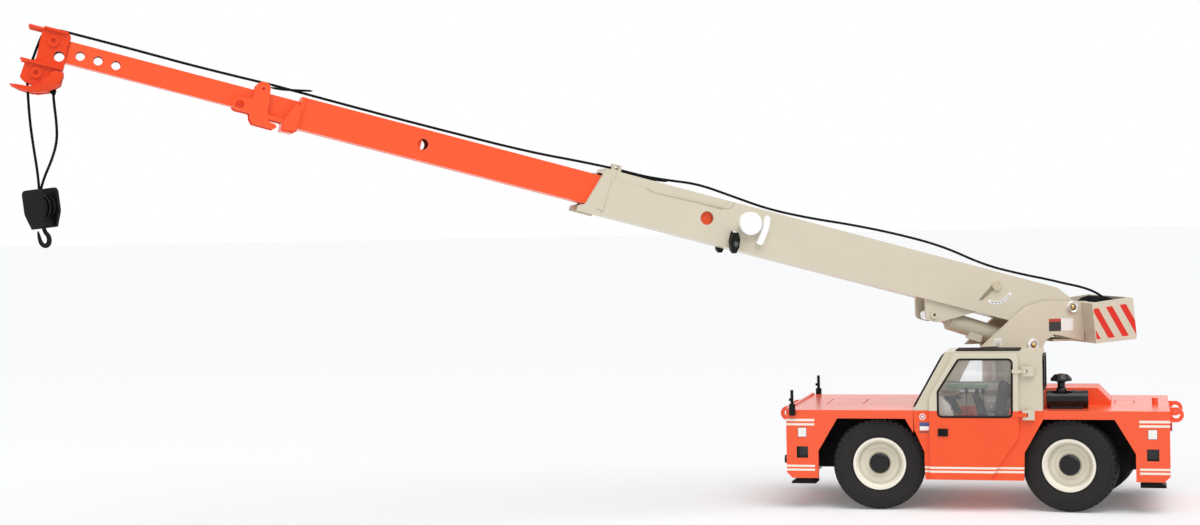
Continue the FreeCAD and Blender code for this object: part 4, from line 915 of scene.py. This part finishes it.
falls = {
    "front": [
        (2.3, 0.0, -0.6), (2.3, 0.0, -2.5), (2.25, 0.1, -6.0), (1.95, 0.1, -12.5), (1.25, 0.0, -19.0),
        (0.2, 0.0, -27.0), (0.1, 0.0, -30.9),
    ],
    "rear": [
        (-4.1, 0.0, -4.9), (-4.2, 0.0, -7.4), (-4.7, -0.1, -12.5), (-4.8, -0.1, -17.5), (-3.3, 0.0, -22.5),
        (-1.0, 0.0, -27.5), (-0.1, 0.0, -30.9),
    ],
    "knot": [
        (-4.0, 0.6, -4.2), (-4.8, 0.3, -4.6), (-4.3, -0.7, -4.9), (-3.3, -0.2, -4.4), (-3.7, 0.7, -5.1),
        (-4.6, 0.1, -5.6), (-4.1, -0.7, -4.4), (-3.5, 0.2, -5.3), (-4.1, 0.4, -4.9),
    ],
}


def hookFalls(shape):
    for name in ("front", "rear"):
        strand(shape, routeOf(falls[name]), rope["radius"])


def ropeKnot(shape):
    strand(shape, routeOf(falls["knot"]), rope["radius"])


def bar(shape, path, radii, around=16):
    # a round bar along a path, thicker or thinner from point to point
    rings = []
    for i, spot, side, top in crossSections(path):
        share = i / (len(path) - 1) * (len(radii) - 1)
        k = min(int(share), len(radii) - 2)
        reach = radii[k] + (radii[k + 1] - radii[k]) * (share - k)
        ring = []
        for j in range(around):
            angle = 2 * math.pi * j / around
            ring.append(shape.verts.new(spot + (side * math.cos(angle) + top * math.sin(angle)) * reach))
        rings.append(ring)
    closeTube(shape, rings)


hookBow = {
    "line": [
        (-0.60, 0, -39.2), (-0.85, 0, -41.0), (-1.85, 0, -42.1), (-2.15, 0, -43.2), (-1.9, 0, -44.5),
        (-0.9, 0, -44.95), (0.1, 0, -44.1), (0.45, 0, -42.5), (0.7, 0, -41.0),
    ],
    "thickness": [0.5, 0.52, 0.56, 0.62, 0.66, 0.66, 0.6, 0.52, 0.42, 0.2],
    "step": 0.25,
}


def cargoHook(shape):
    bar(shape, evenly(routeOf(hookBow["line"]), hookBow["step"]), hookBow["thickness"])


hookPlace = place(pinOf("hook_swing"), turretAhead, turretLeft, upward)
addPiece("cargoHook", cargoHook, hookPlace, "hook", "black_paint", smooth=50, replaced=("hook",))
hookRope = addPiece("hookFalls", hookFalls, hookPlace, "hook", "line_black", smooth=70,
                    replaced=("hook_line",), riding=False)
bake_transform(hookRope)
addPiece("hookRopeKnot", ropeKnot, hookPlace, "fly", "line_black", smooth=70)
print("rope laid")


# tyres

tyre = {
    "tread": 13.18,
    "half": 4.3,
    "base": 12.75,
    "bead": 7.45,
    # radius, and depth in from the outermost face, from the bead to the shoulder
    "wall": (
        (7.45, 0.75), (7.57, 0.35), (7.9, 0.42), (8.0, 0.18), (8.75, 0.03), (10.4, 0.0), (11.6, 0.02),
        (11.75, 0.12), (11.9, 0.04), (12.3, 0.12), (12.65, 0.45), (12.75, 0.8),
    ),
    "around": 96,
    "blocks": 46,
    "rows": ((-4.15, -2.75), (-2.45, -1.0), (-0.7, 0.7), (1.0, 2.45), (2.75, 4.15)),
    "gap": 0.30,
    "lean": 0.10,
    "sunk": 0.12,  # how far a block's foot stands in the carcass
    "narrowing": 0.04,
    "sideShare": 0.3,
    "shoulderFrom": 4.0,
    "shoulderFoot": 0.35,
    "shoulderTop": 0.34,
}


def treadBlock(shape, start, pitch, low, high, lean, shoulder):
    rings = []
    foot = (tyre["base"] - tyre["sunk"], 0.0, tyre["shoulderFoot"])
    top = (tyre["tread"], tyre["narrowing"], tyre["shoulderTop"])
    for reach, narrowing, drop in (foot, top):
        inset = tyre["gap"] / 2 + narrowing
        ring = []
        for along, slant in ((low, -lean), (high, lean)):
            outer = shoulder and abs(along) > tyre["shoulderFrom"]
            r = reach - (drop if outer else 0.0)
            edge = along * (1 - narrowing * tyre["sideShare"])
            for share in (inset, 1 - inset):
                angle = start + pitch * share + slant
                ring.append(shape.verts.new((math.cos(angle) * r, edge, math.sin(angle) * r)))
        rings.append([ring[k] for k in (0, 1, 3, 2)])
    joinRings(shape, rings)
    shape.faces.new(rings[1])


def makeTyre(shape):
    bead, half = tyre["bead"], tyre["half"]
    side = [(bead, 0.0)] + [(radius, half - depth) for radius, depth in tyre["wall"]]
    profile = side + [(radius, -distance) for radius, distance in reversed(side[1:])]
    lathe(shape, profile, tyre["around"], closed=True)
    pitch = 2 * math.pi / tyre["blocks"]
    for row, (low, high) in enumerate(tyre["rows"]):
        shoulder = row in (0, len(tyre["rows"]) - 1)
        lean = tyre["lean"] * (1 if row % 2 else -1) * pitch
        for i in range(tyre["blocks"]):
            treadBlock(shape, (i + 0.5 * (row % 2)) * pitch, pitch, low, high, lean, shoulder)


rimDetail = {
    "paint": (0.82, 0.77, 0.63),
    # the lip is painted lighter, as a painted highlight
    "lip": 6.2,
    "lipHighlight": (0.92, 0.88, 0.76),
    "step": (5.5, 6.1),  # the ring between lip and flange, painted greyer as painted shade in the step
    "stepShade": (0.50, 0.47, 0.40),
    "stepShare": 0.5,
    # the groove and the hollow middle are painted darker, as painted shade
    "groove": (4.15, 4.32),
    "grooveShade": (0.36, 0.33, 0.27),
    "grooveShare": 0.4,
    "hollow": 3.3,
    "hollowShade": (0.34, 0.31, 0.25),
    "hollowShare": 0.5,
}


def rimMasks(home):
    def masks(tree):
        x, y, z = inPlace(tree, home)
        away = x ** 2 + z ** 2
        step, groove = (between(away, low ** 2, high ** 2) for low, high in (rimDetail["step"], rimDetail["groove"]))
        hollow = away < rimDetail["hollow"] ** 2
        lip = away > rimDetail["lip"] ** 2
        # painted highlight on the lip, painted shade in the step, the groove and the hollow
        return [
            (lip, rimDetail["lipHighlight"]),
            (step * rimDetail["stepShare"], rimDetail["stepShade"]),
            (groove * rimDetail["grooveShare"], rimDetail["grooveShade"]),
            (hollow * rimDetail["hollowShare"], rimDetail["hollowShade"]),
        ]
    return masks


for wheel in ("front_left", "front_right", "rear_left", "rear_right"):
    home = wheelPlace(wheel)
    addPiece("treadTyre_" + wheel, makeTyre, home, wheel + "_wheel", "tyre_rubber", smooth=32,
             replaced=(wheel + "_tyre",))
    rim = frame["nodes"][wheel + "_rim"]
    rim.data.materials.clear()
    rim.data.materials.append(enamel("rimEnamel_" + wheel, rimDetail["paint"], overlay=rimMasks(home)))
print("tyres and rims made")


# cab

door = {
    "outerFace": -25.35,
    "window": [(-9.9, 27.0), (-9.9, 34.2), (-4.0, 43.4), (11.0, 43.4), (10.8, 27.0)],
    "corner": 1.2,
    "sealIn": 0.35,
    "sealOut": 0.25,
    "sealDepth": 0.25,
    "sealRise": 0.22,
    "handle": (
        (-9.75, -7.25, -25.95, -25.68, 23.1, 23.6, 0.1),
        (-9.0, -8.0, -25.9, -25.68, 21.9, 22.8, 0.1),
    ),
}


def doorSeal(shape):
    outline = rounded(door["window"], door["corner"])
    low, high = door["outerFace"] + door["sealDepth"], door["outerFace"] - door["sealRise"]
    frameRing(shape, outline, door["sealIn"], door["sealOut"], low, high)


addPiece("doorWindowSeal", doorSeal, chassisPlace, "door", "black_paint", smooth=40)


def handleLever(shape):
    blocks(shape, door["handle"])


addPiece("doorHandleLever", handleLever, chassisPlace, "door", "black_paint", smooth=30)

shell = {
    "deck": 28.8,
    "top": 44.7,
    "front": -16.9,
    "topFront": -7.95,
    "inner": -9.8,
}

windshield = {
    "pane": ((-23.5, 29.7), (-10.7, 44.3)),  # across and up, from corner to corner
    "corner": 1.2,
    "sealIn": 0.55,
    "sealOut": 0.12,
    "steps": (0.1, 0.62, 0.62, 0.42),
    "lift": 1.15,
}


def windshieldSeal(shape):
    # a rubber edge round the sloping pane
    lean = (shell["topFront"] - shell["front"]) / (shell["top"] - shell["deck"])
    outline = framed(windshield["pane"], windshield["corner"])
    inner, outer = grown(outline, -windshield["sealIn"]), grown(outline, windshield["sealOut"])
    rings = []
    for points, stand in zip((outer, outer, inner, inner), windshield["steps"]):
        foot = shell["front"] - stand * windshield["lift"]
        rings.append([shape.verts.new((foot + (z - shell["deck"]) * lean, y, z)) for y, z in points])
    joinRings(shape, rings)


addPiece("windshieldSeal", windshieldSeal, chassisPlace, "chassis", "black_paint", smooth=30)


paneEdges = {
    "side": [(-7.3, 32.3), (-1.9, 43.3), (17.2, 43.3), (17.2, 32.3)],
    "sideCorner": 1.0,
    "sideSeal": (0.5, 0.15),
    "rear": ((-23.3, 34.7), (-10.9, 44.2)),
    "rearCorner": 0.9,
    "rearSeal": (0.5, 0.1),
    "rearSteps": (19.25, 19.78, 19.78, 19.6),
}


def paneSeals(shape):
    # the far side window's and the rear window's rubber edges
    side = rounded(paneEdges["side"], paneEdges["sideCorner"])
    frameRing(shape, side, *paneEdges["sideSeal"], shell["inner"] + 0.1, shell["inner"] + 0.6)
    outline = framed(paneEdges["rear"], paneEdges["rearCorner"])
    inward, outward = paneEdges["rearSeal"]
    inner, outer = grown(outline, -inward), grown(outline, outward)
    rings = []
    for points, x in zip((outer, outer, inner, inner), paneEdges["rearSteps"]):
        rings.append([shape.verts.new((x, y, z)) for y, z in points])
    joinRings(shape, rings)


addPiece("paneSeals", paneSeals, chassisPlace, "chassis", "black_paint", smooth=30)

cabinFinish = {
    "grey": plainFinish("cabinGrey", (0.42, 0.39, 0.37), 0.5),
    "green": plainFinish("consoleGreen", (0.20, 0.34, 0.22), 0.5),
    "pale": plainFinish("cabinPale", (0.60, 0.58, 0.53), 0.45),
    "dial": plainFinish("dialWhite", (0.62, 0.61, 0.58), 0.4),
}


cabin = {
    # low and high along x, y and z, then the softened edge
    "ledge": (
        (-10.4, 17.4, -12.9, -10.95, 33.4, 35.7, 0.2),
        (4.3, 5.6, -11.7, -10.95, 35.6, 43.6, 0.1),
    ),
    "ledgeTrim": (
        (-9.0, 8.5, -12.2, -11.6, 35.75, 36.0, 0.1),
        (-8.6, 3.4, -13.05, -12.85, 34.0, 35.2, 0.08),
    ),
    "boxes": (
        (2.4, 6.0, -14.6, -11.2, 27.6, 31.8, 0.25),
        (6.6, 10.2, -14.6, -11.2, 27.6, 31.6, 0.25),
        (3.0, 10.6, -14.6, -11.2, 23.0, 27.2, 0.25),
        (11.0, 15.5, -14.6, -11.2, 24.0, 34.0, 0.25),
    ),
    "redStrip": (
        (7.4, 10.4, -14.9, -14.6, 26.9, 27.3, 0.05),
        (7.6, 12.0, -13.1, -12.9, 34.9, 35.3, 0.05),
    ),
    "dials": ((3.6, 30.4), (5.1, 30.5), (4.3, 28.8), (7.6, 30.2), (9.2, 30.2), (8.4, 28.7)),
    "dialShape": ((0.34, -14.95), (0.42, -14.85), (0.42, -14.55)),
    # outline, corner radius, low and high across, softened edge
    "cowl": ([(-10.2, 21.5), (-10.2, 32.6), (-9.2, 32.4), (-7.0, 30.2), (-5.9, 27.4), (-5.7, 21.5)], 0.8,
             -22.6, -18.2, 0.35),
    "seatBack": ([(4.6, 22.4), (6.2, 22.2), (9.0, 34.2), (8.2, 36.6), (6.9, 36.4)], 0.7, -20.2, -13.4, 0.45),
    "squab": ([(-1.7, 21.3), (-1.2, 22.9), (4.6, 23.1), (6.4, 22.4), (6.4, 21.2)], 0.5, -20.4, -13.2, 0.4),
    "bolster": ([(-1.0, 33.0), (0.6, 33.0), (1.9, 31.2), (3.8, 26.2), (0.9, 26.0), (0.2, 29.6)], 0.5,
                -18.4, -16.9, 0.3),
}


def boxesOf(name):
    def build(shape):
        blocks(shape, cabin[name])
    return build


def padsOf(*names):
    # plates with rounded outlines and rolled edges
    def build(shape):
        for name in names:
            outline, corner, low, high, soften = cabin[name]
            slab(shape, rounded(outline, corner), low, high, soften)
    return build


def cabinDials(shape):
    for x, z in cabin["dials"]:
        lathe(shape, cabin["dialShape"], 20, (x, 0, z))


steering = {
    "column": [(0.55, 0.0), (0.62, 0.3), (0.5, 4.6), (0.4, 5.2)],
    "columnFoot": (-4.2, -17.4, 27.2),
    "rake": -24,
    "rim": 2.45,
    "grip": 0.22,
    "height": 5.1,
    "around": 40,
    "gripAround": 10,
    "spokes": 3,
    "firstSpoke": 0.5,
    "spokeHalf": 0.18,
    "spokeReach": 2.4,
    "spokeTop": 5.2,
    "spokeFoot": (4.95, 4.98),
}


def steeringParts(shape):
    # column, wheel rim and spokes
    lathe(shape, steering["column"], 20, (0, 0, 0), "z")
    rim = []
    for i in range(steering["around"]):
        angle = 2 * math.pi * i / steering["around"]
        ring = []
        for k in range(steering["gripAround"]):
            turn = 2 * math.pi * k / steering["gripAround"]
            reach = steering["rim"] + steering["grip"] * math.cos(turn)
            high = steering["height"] + steering["grip"] * math.sin(turn)
            ring.append(shape.verts.new((reach * math.cos(angle), reach * math.sin(angle), high)))
        rim.append(ring)
    joinRings(shape, rim + rim[:1])
    half, top = steering["spokeHalf"], steering["spokeTop"]
    for i in range(steering["spokes"]):
        angle = 2 * math.pi * i / steering["spokes"] + steering["firstSpoke"]
        c, s = math.cos(angle), math.sin(angle)
        ends = []
        for reach, foot in zip((0.0, steering["spokeReach"]), steering["spokeFoot"]):
            corners = [(-s * half, c * half, foot), (s * half, -c * half, foot)]
            corners += [(s * half, -c * half, top), (-s * half, c * half, top)]
            ends.append([shape.verts.new((x + c * reach, y + s * reach, z)) for x, y, z in corners])
        closeTube(shape, ends)


levers = {
    "places": ((-2.6, -15.2), (0.4, -15.2), (2.1, -15.6)),
    "shape": [(0.12, 27.0), (0.12, 32.6), (0.45, 32.8), (0.62, 33.4), (0.45, 34.1), (0.1, 34.3)],
}


def leverKnobs(shape):
    for x, y in levers["places"]:
        lathe(shape, levers["shape"], 18, (x, y, 0), "z")


addPiece("cabinBolster", padsOf("bolster"), chassisPlace, "chassis", "seat_vinyl", smooth=40)
addPiece("cabinLedge", boxesOf("ledge"), chassisPlace, "chassis", "black_paint", cabinFinish["grey"], smooth=30)
addPiece("cabinLedgeTrim", boxesOf("ledgeTrim"), chassisPlace, "chassis", "black_paint", cabinFinish["green"],
         smooth=30)
addPiece("cabinBoxes", boxesOf("boxes"), chassisPlace, "chassis", "black_paint", cabinFinish["grey"], smooth=30)
addPiece("cabinDials", cabinDials, chassisPlace, "chassis", "white_plastic", cabinFinish["dial"], smooth=30)
addPiece("cabinCowl", padsOf("cowl"), chassisPlace, "chassis", "cream_paint", cabinFinish["pale"], smooth=40)
columnPlace = chassisPlace @ Matrix.Translation(steering["columnFoot"])
columnPlace = columnPlace @ Matrix.Rotation(math.radians(steering["rake"]), 4, "Y")
addPiece("steeringWheel", steeringParts, columnPlace, "chassis", "black_paint", smooth=40)
addPiece("leverKnobs", leverKnobs, chassisPlace, "chassis", "black_paint", smooth=50)
addPiece("seatCushions", padsOf("seatBack", "squab"), chassisPlace, "chassis", "seat_vinyl", smooth=50)


addPiece("cabinRedStrip", boxesOf("redStrip"), chassisPlace, "chassis", "tail_lens", smooth=30)
print("cab dressed")


# blank plates and small fittings

plateFinish = plainFinish("bareLabel", (0.78, 0.77, 0.74), 0.32, coat=0.3)
darkLabel = plainFinish("darkLabel", (0.03, 0.028, 0.026), 0.4, coat=0.3)
redLabel = plainFinish("redLabel", (0.45, 0.05, 0.03), 0.4, coat=0.3)
blueLabel = plainFinish("blueLabel", (0.055, 0.08, 0.2), 0.4, coat=0.3)
brassy = plainFinish("rivetBrass", (0.55, 0.36, 0.14), 0.3, metallic=1.0)


labels = {
    "ends": (((-50.1, 21.0), (-47.6, 23.7)), ((47.6, 21.0), (50.1, 23.7))),
    "tub": ((-15.2, 22.4), (-12.4, 25.4)),
    "corner": 0.2,
    "faces": (-24.46, -24.38),
    "frameFaces": (-24.40, -24.48),
    "endFrame": (0.12, 0.03),
    "tubFrame": (0.14, 0.03),
    "disc": (-14.3, 27.0),
    "discRadius": 0.9,
    "ring": [(0.62, -24.4), (0.62, -24.49), (0.36, -24.49), (0.36, -24.4)],
    "bandAcross": (-15.1, -12.5),
    "bandFaces": (-24.5, -24.4),
    "blueBand": (24.3, 25.3),
    "redBand": (22.5, 23.1),
}


def labelOutline(corners):
    return framed(corners, labels["corner"], 3)


def chassisLabels(shape):
    low, high = labels["faces"]
    for corners in labels["ends"]:
        slab(shape, labelOutline(corners), low, high)
        slab(shape, labelOutline(corners), -high, -low)
    slab(shape, labelOutline(labels["tub"]), low, high)
    x, z = labels["disc"]
    angles = [math.pi * i / 12 for i in range(24)]
    slab(shape, [(x + labels["discRadius"] * math.cos(a), z + labels["discRadius"] * math.sin(a)) for a in angles],
         low, high)


def labelFrames(shape):
    # the thin dark line round each bare label
    for corners in labels["ends"]:
        frameRing(shape, labelOutline(corners), *labels["endFrame"], *labels["frameFaces"])
    frameRing(shape, labelOutline(labels["tub"]), *labels["tubFrame"], *labels["frameFaces"])


def labelBand(heights):
    def build(shape):
        (left, right), (low, high) = labels["bandAcross"], heights
        slab(shape, [(left, low), (left, high), (right, high), (right, low)], *labels["bandFaces"])
    return build


def labelRing(shape):
    x, z = labels["disc"]
    lathe(shape, labels["ring"], 24, (x, 0, z), closed=True)


addPiece("bareLabelsOnChassis", chassisLabels, chassisPlace, "chassis", "white_plastic", plateFinish)
addPiece("labelBandBlue", labelBand(labels["blueBand"]), chassisPlace, "chassis", "black_paint", blueLabel)
addPiece("labelBandRed", labelBand(labels["redBand"]), chassisPlace, "chassis", "tail_lens", redLabel)
addPiece("labelRing", labelRing, chassisPlace, "chassis", "tail_lens", redLabel)
addPiece("labelFramesOnChassis", labelFrames, chassisPlace, "chassis", "black_paint", darkLabel, smooth=30)


turretLabels = {
    "white": (((-16.8, 49.7), (-13.0, 53.3)), ((5.8, 46.1), (8.0, 48.2))),
    "dark": (((-13.0, 49.7), (-9.2, 52.4)),),
    "red": (((-13.0, 52.4), (-9.2, 53.3)),),
    "faces": (6.68, 6.76),
}


def turretLabel(name):
    def build(shape):
        for (x0, z0), (x1, z1) in turretLabels[name]:
            slab(shape, [(x0, z0), (x0, z1), (x1, z1), (x1, z0)], *turretLabels["faces"])
    return build


addPiece("bareLabelOnTurret", turretLabel("white"), turretPlace, "turret", "white_plastic", plateFinish)
addPiece("darkLabelOnTurret", turretLabel("dark"), turretPlace, "turret", "black_paint", darkLabel)
addPiece("redLabelOnTurret", turretLabel("red"), turretPlace, "turret", "tail_lens", redLabel)


pinFittings = {
    # radius, and distance from the turret's middle
    "cap": [(0.62, 7.15), (0.6, 7.4), (0.42, 7.55), (0.12, 7.6)],
    "washer": [(1.72, 6.7), (1.72, 7.2), (1.6, 7.32), (1.35, 7.3), (1.2, 7.2), (1.2, 6.7)],
}


def onPins(name, steps, closed=False):
    # a turned shape at both ends of each turret pin
    def build(shape):
        for a, z in turretPins["places"]:
            for side in (1, -1):
                lathe(shape, [(r, d * side) for r, d in pinFittings[name]], steps, (a, 0, z), closed=closed)
    return build


addPiece("rivetCaps", onPins("cap", 24), turretPlace, "turret", "cylinder_steel", brassy, smooth=40)
addPiece("washerRims", onPins("washer", 40, closed=True), turretPlace, "turret", "cylinder_steel", smooth=40)

gauge = {
    "centre": (24.1, 0.5),
    "inner": 4.45,
    "outer": 5.35,
    "from": 190,
    "to": 285,
    "arcSteps": 28,
    "ticks": 13,
    "tickMargin": 7,
    "tickHalf": 0.11,
    "tickInner": 0.2,
    "tickOuter": (0.35, 0.15),  # long and short ticks by turns
    "face": 5.2,
    "disc": [(1.45, -0.05), (1.45, 0.55), (1.3, 0.72), (1.12, 0.7), (1.05, 0.62), (0.1, 0.66)],
    # the disc is a cream part painted darker, as painted shade that sets it off from the boom
    "discShadedCream": (0.60, 0.53, 0.38),
    "pointer": [(24.45, -0.4), (25.45, 0.4), (27.6, -3.3), (28.3, -4.6), (27.3, -4.3)],
    # the pointer is a cream part painted dark taupe, as painted shade
    "pointerShadedCream": (0.30, 0.245, 0.17),
}


def gaugeArc(shape):
    u, v = gauge["centre"]
    low, high = gauge["face"] - 0.02, gauge["face"] + 0.08
    rings = []
    for i in range(gauge["arcSteps"] + 1):
        angle = math.radians(gauge["from"] + (gauge["to"] - gauge["from"]) * i / gauge["arcSteps"])
        (x0, z0), (x1, z1) = [
            (u + reach * math.cos(angle), v + reach * math.sin(angle)) for reach in (gauge["inner"], gauge["outer"])
        ]
        rings.append([shape.verts.new(v) for v in ((x0, low, z0), (x1, low, z1), (x1, high, z1), (x0, high, z0))])
    closeTube(shape, rings)


def gaugeTicks(shape):
    first, last, margin = gauge["from"], gauge["to"], gauge["tickMargin"]
    for i in range(gauge["ticks"]):
        angle = math.radians(first + margin + (last - first - 2 * margin) * (i + 0.5) / gauge["ticks"])
        ray = Vector((math.cos(angle), math.sin(angle)))
        side = Vector((-ray.y, ray.x)) * gauge["tickHalf"]
        inner = Vector(gauge["centre"]) + ray * (gauge["inner"] + gauge["tickInner"])
        outer = Vector(gauge["centre"]) + ray * (gauge["outer"] - gauge["tickOuter"][i % 2])
        slab(shape, [tuple(v) for v in (inner - side, inner + side, outer + side, outer - side)],
             gauge["face"] + 0.06, gauge["face"] + 0.11)


def gaugeDisc(shape):
    u, v = gauge["centre"]
    lathe(shape, [(radius, gauge["face"] + rise) for radius, rise in gauge["disc"]], 36, (u, 0, v))


def gaugePointer(shape):
    slab(shape, gauge["pointer"], gauge["face"] - 0.05, gauge["face"] + 0.22, 0.06)


addPiece("gaugeDisc", gaugeDisc, boomPlace, "boom", "cream_paint",
         enamel("gaugeDiscEnamel", gauge["discShadedCream"]), smooth=35, replaced=("angle_gauge",))
addPiece("gaugePointer", gaugePointer, boomPlace, "boom", "cream_paint",
         enamel("gaugePointerEnamel", gauge["pointerShadedCream"]), smooth=30)
addPiece("gaugeArc", gaugeArc, boomPlace, "boom", "white_plastic", smooth=30)
addPiece("gaugeTicks", gaugeTicks, boomPlace, "boom", "black_paint", darkLabel)


hornEdge = {
    "under": [
        (290.7, -8.1), (290.95, -9.0), (291.3, -10.85), (292.3, -12.1), (293.75, -13.3), (296.0, -14.2),
        (298.25, -14.4), (300.75, -14.25), (303.1, -13.78),
    ],
    "over": [
        (303.15, -13.52), (301.0, -13.26), (299.0, -13.1), (297.8, -13.0), (296.5, -12.5), (295.35, -11.5),
        (294.5, -10.1), (294.15, -8.7), (293.6, -7.8), (292.6, -7.4), (291.5, -7.6),
    ],
    "across": (4.3, 5.55),
    "soften": 0.16,
}


def bothSides(limits):
    low, high = limits
    return (low, high), (-high, -low)


def hornTrim(shape):
    # the curved tusk's smooth raised cheek, on both sides of the head
    for low, high in bothSides(hornEdge["across"]):
        slab(shape, hornEdge["under"] + hornEdge["over"], low, high, hornEdge["soften"])


addPiece("hornTrim", hornTrim, boomPlace, "fly", "body_orange", special["boom_head"], smooth=35)


panelLine = {
    "route": [
        (132.2, 0, 2.0), (131.2, 0, 1.55), (129.5, 0, 1.45), (124.0, 0, 1.6), (116.0, 0, 1.85), (109.6, 0, 2.1),
        (107.9, 0, 2.4), (107.2, 0, 3.2), (106.6, 0, 4.35),
    ],
    "face": 5.2,
    "step": 0.5,
    "radius": 0.11,
    "around": 8,
    # a darker cream, as painted shade along the plate's edge
    "paint": (0.47, 0.42, 0.32),
}


def panelEdge(shape):
    # the rounded edge of the doubled plate on both sides of the base section, painted darker than the cream as
    # painted shade along its step
    for across in (panelLine["face"], -panelLine["face"]):
        path = [v + Vector((0, across, 0)) for v in evenly(routeOf(panelLine["route"]), panelLine["step"])]
        bar(shape, path, [panelLine["radius"]] * 2, panelLine["around"])


addPiece("basePanelEdge", panelEdge, boomPlace, "boom", "cream_paint",
         enamel("panelEdgeShadeEnamel", panelLine["paint"]), smooth=50)


workLamp = {
    "bracket": (104.7, 105.7),
    "bracketAcross": (5.9, 6.7),
    "bracketHeights": (-5.4, -3.3),
    "soften": 0.1,
    "glass": [(0.7, 7.0), (0.7, 7.62), (0.35, 7.75), (0.08, 7.78)],
    "glassCentre": (104.2, 0, -6.9),
    "glassPaint": (0.05, 0.05, 0.055),
}


def lampFittings(shape):
    # the bright brackets of the two work lamps
    for low, high in bothSides(workLamp["bracketAcross"]):
        block(shape, *workLamp["bracket"], low, high, *workLamp["bracketHeights"], workLamp["soften"])


def lampGlass(shape):
    for side in (1, -1):
        lathe(shape, [(r, d * side) for r, d in workLamp["glass"]], 24, workLamp["glassCentre"])


addPiece("lampBrackets", lampFittings, boomPlace, "boom", "cylinder_steel", smooth=40)
addPiece("lampGlass", lampGlass, boomPlace, "boom", "lamp_lens",
         plainFinish("workLampGlass", workLamp["glassPaint"], 0.1, coat=0.8), smooth=40)


wearPads = {
    "middle": 3.2,
    # along the boom, half the width, heights
    "pads": (((145.3, 146.5), 0.75, (2.4, 3.0)), ((147.3, 148.5), 0.8, (-6.9, -6.3))),
    "soften": 0.08,
}


def midWearPads(shape):
    # black slides where the middle section enters the base section
    for across in (wearPads["middle"], -wearPads["middle"]):
        for along, half, heights in wearPads["pads"]:
            block(shape, *along, across - half, across + half, *heights, wearPads["soften"])


addPiece("midWearPads", midWearPads, boomPlace, "boom", "black_paint", smooth=30)
print("labels and small fittings set")


# floor

def makeFloor():
    mesh = bpy.data.meshes.new("floor")
    far = studio["floorHalf"]
    mesh.from_pydata([(-far, -far, 0), (far, -far, 0), (far, far, 0), (-far, far, 0)], [], [(0, 1, 2, 3)])
    floor = bpy.data.objects.new("floor", mesh)
    bpy.context.scene.collection.objects.link(floor)
    material, tree, shader = startMaterial("paleFloor")
    feed(tree, shader, "Base Color", colour(studio["floorWhite"]))
    feed(tree, shader, "Roughness", studio["floorRough"])
    feed(tree, shader, "Specular IOR Level", studio["floorSheen"])
    feed(tree, shader, "Emission Color", colour((1.0, 1.0, 1.0)))
    feed(tree, shader, "Emission Strength", studio["floorGlow"])
    mesh.materials.append(material)


makeFloor()
print("floor set")
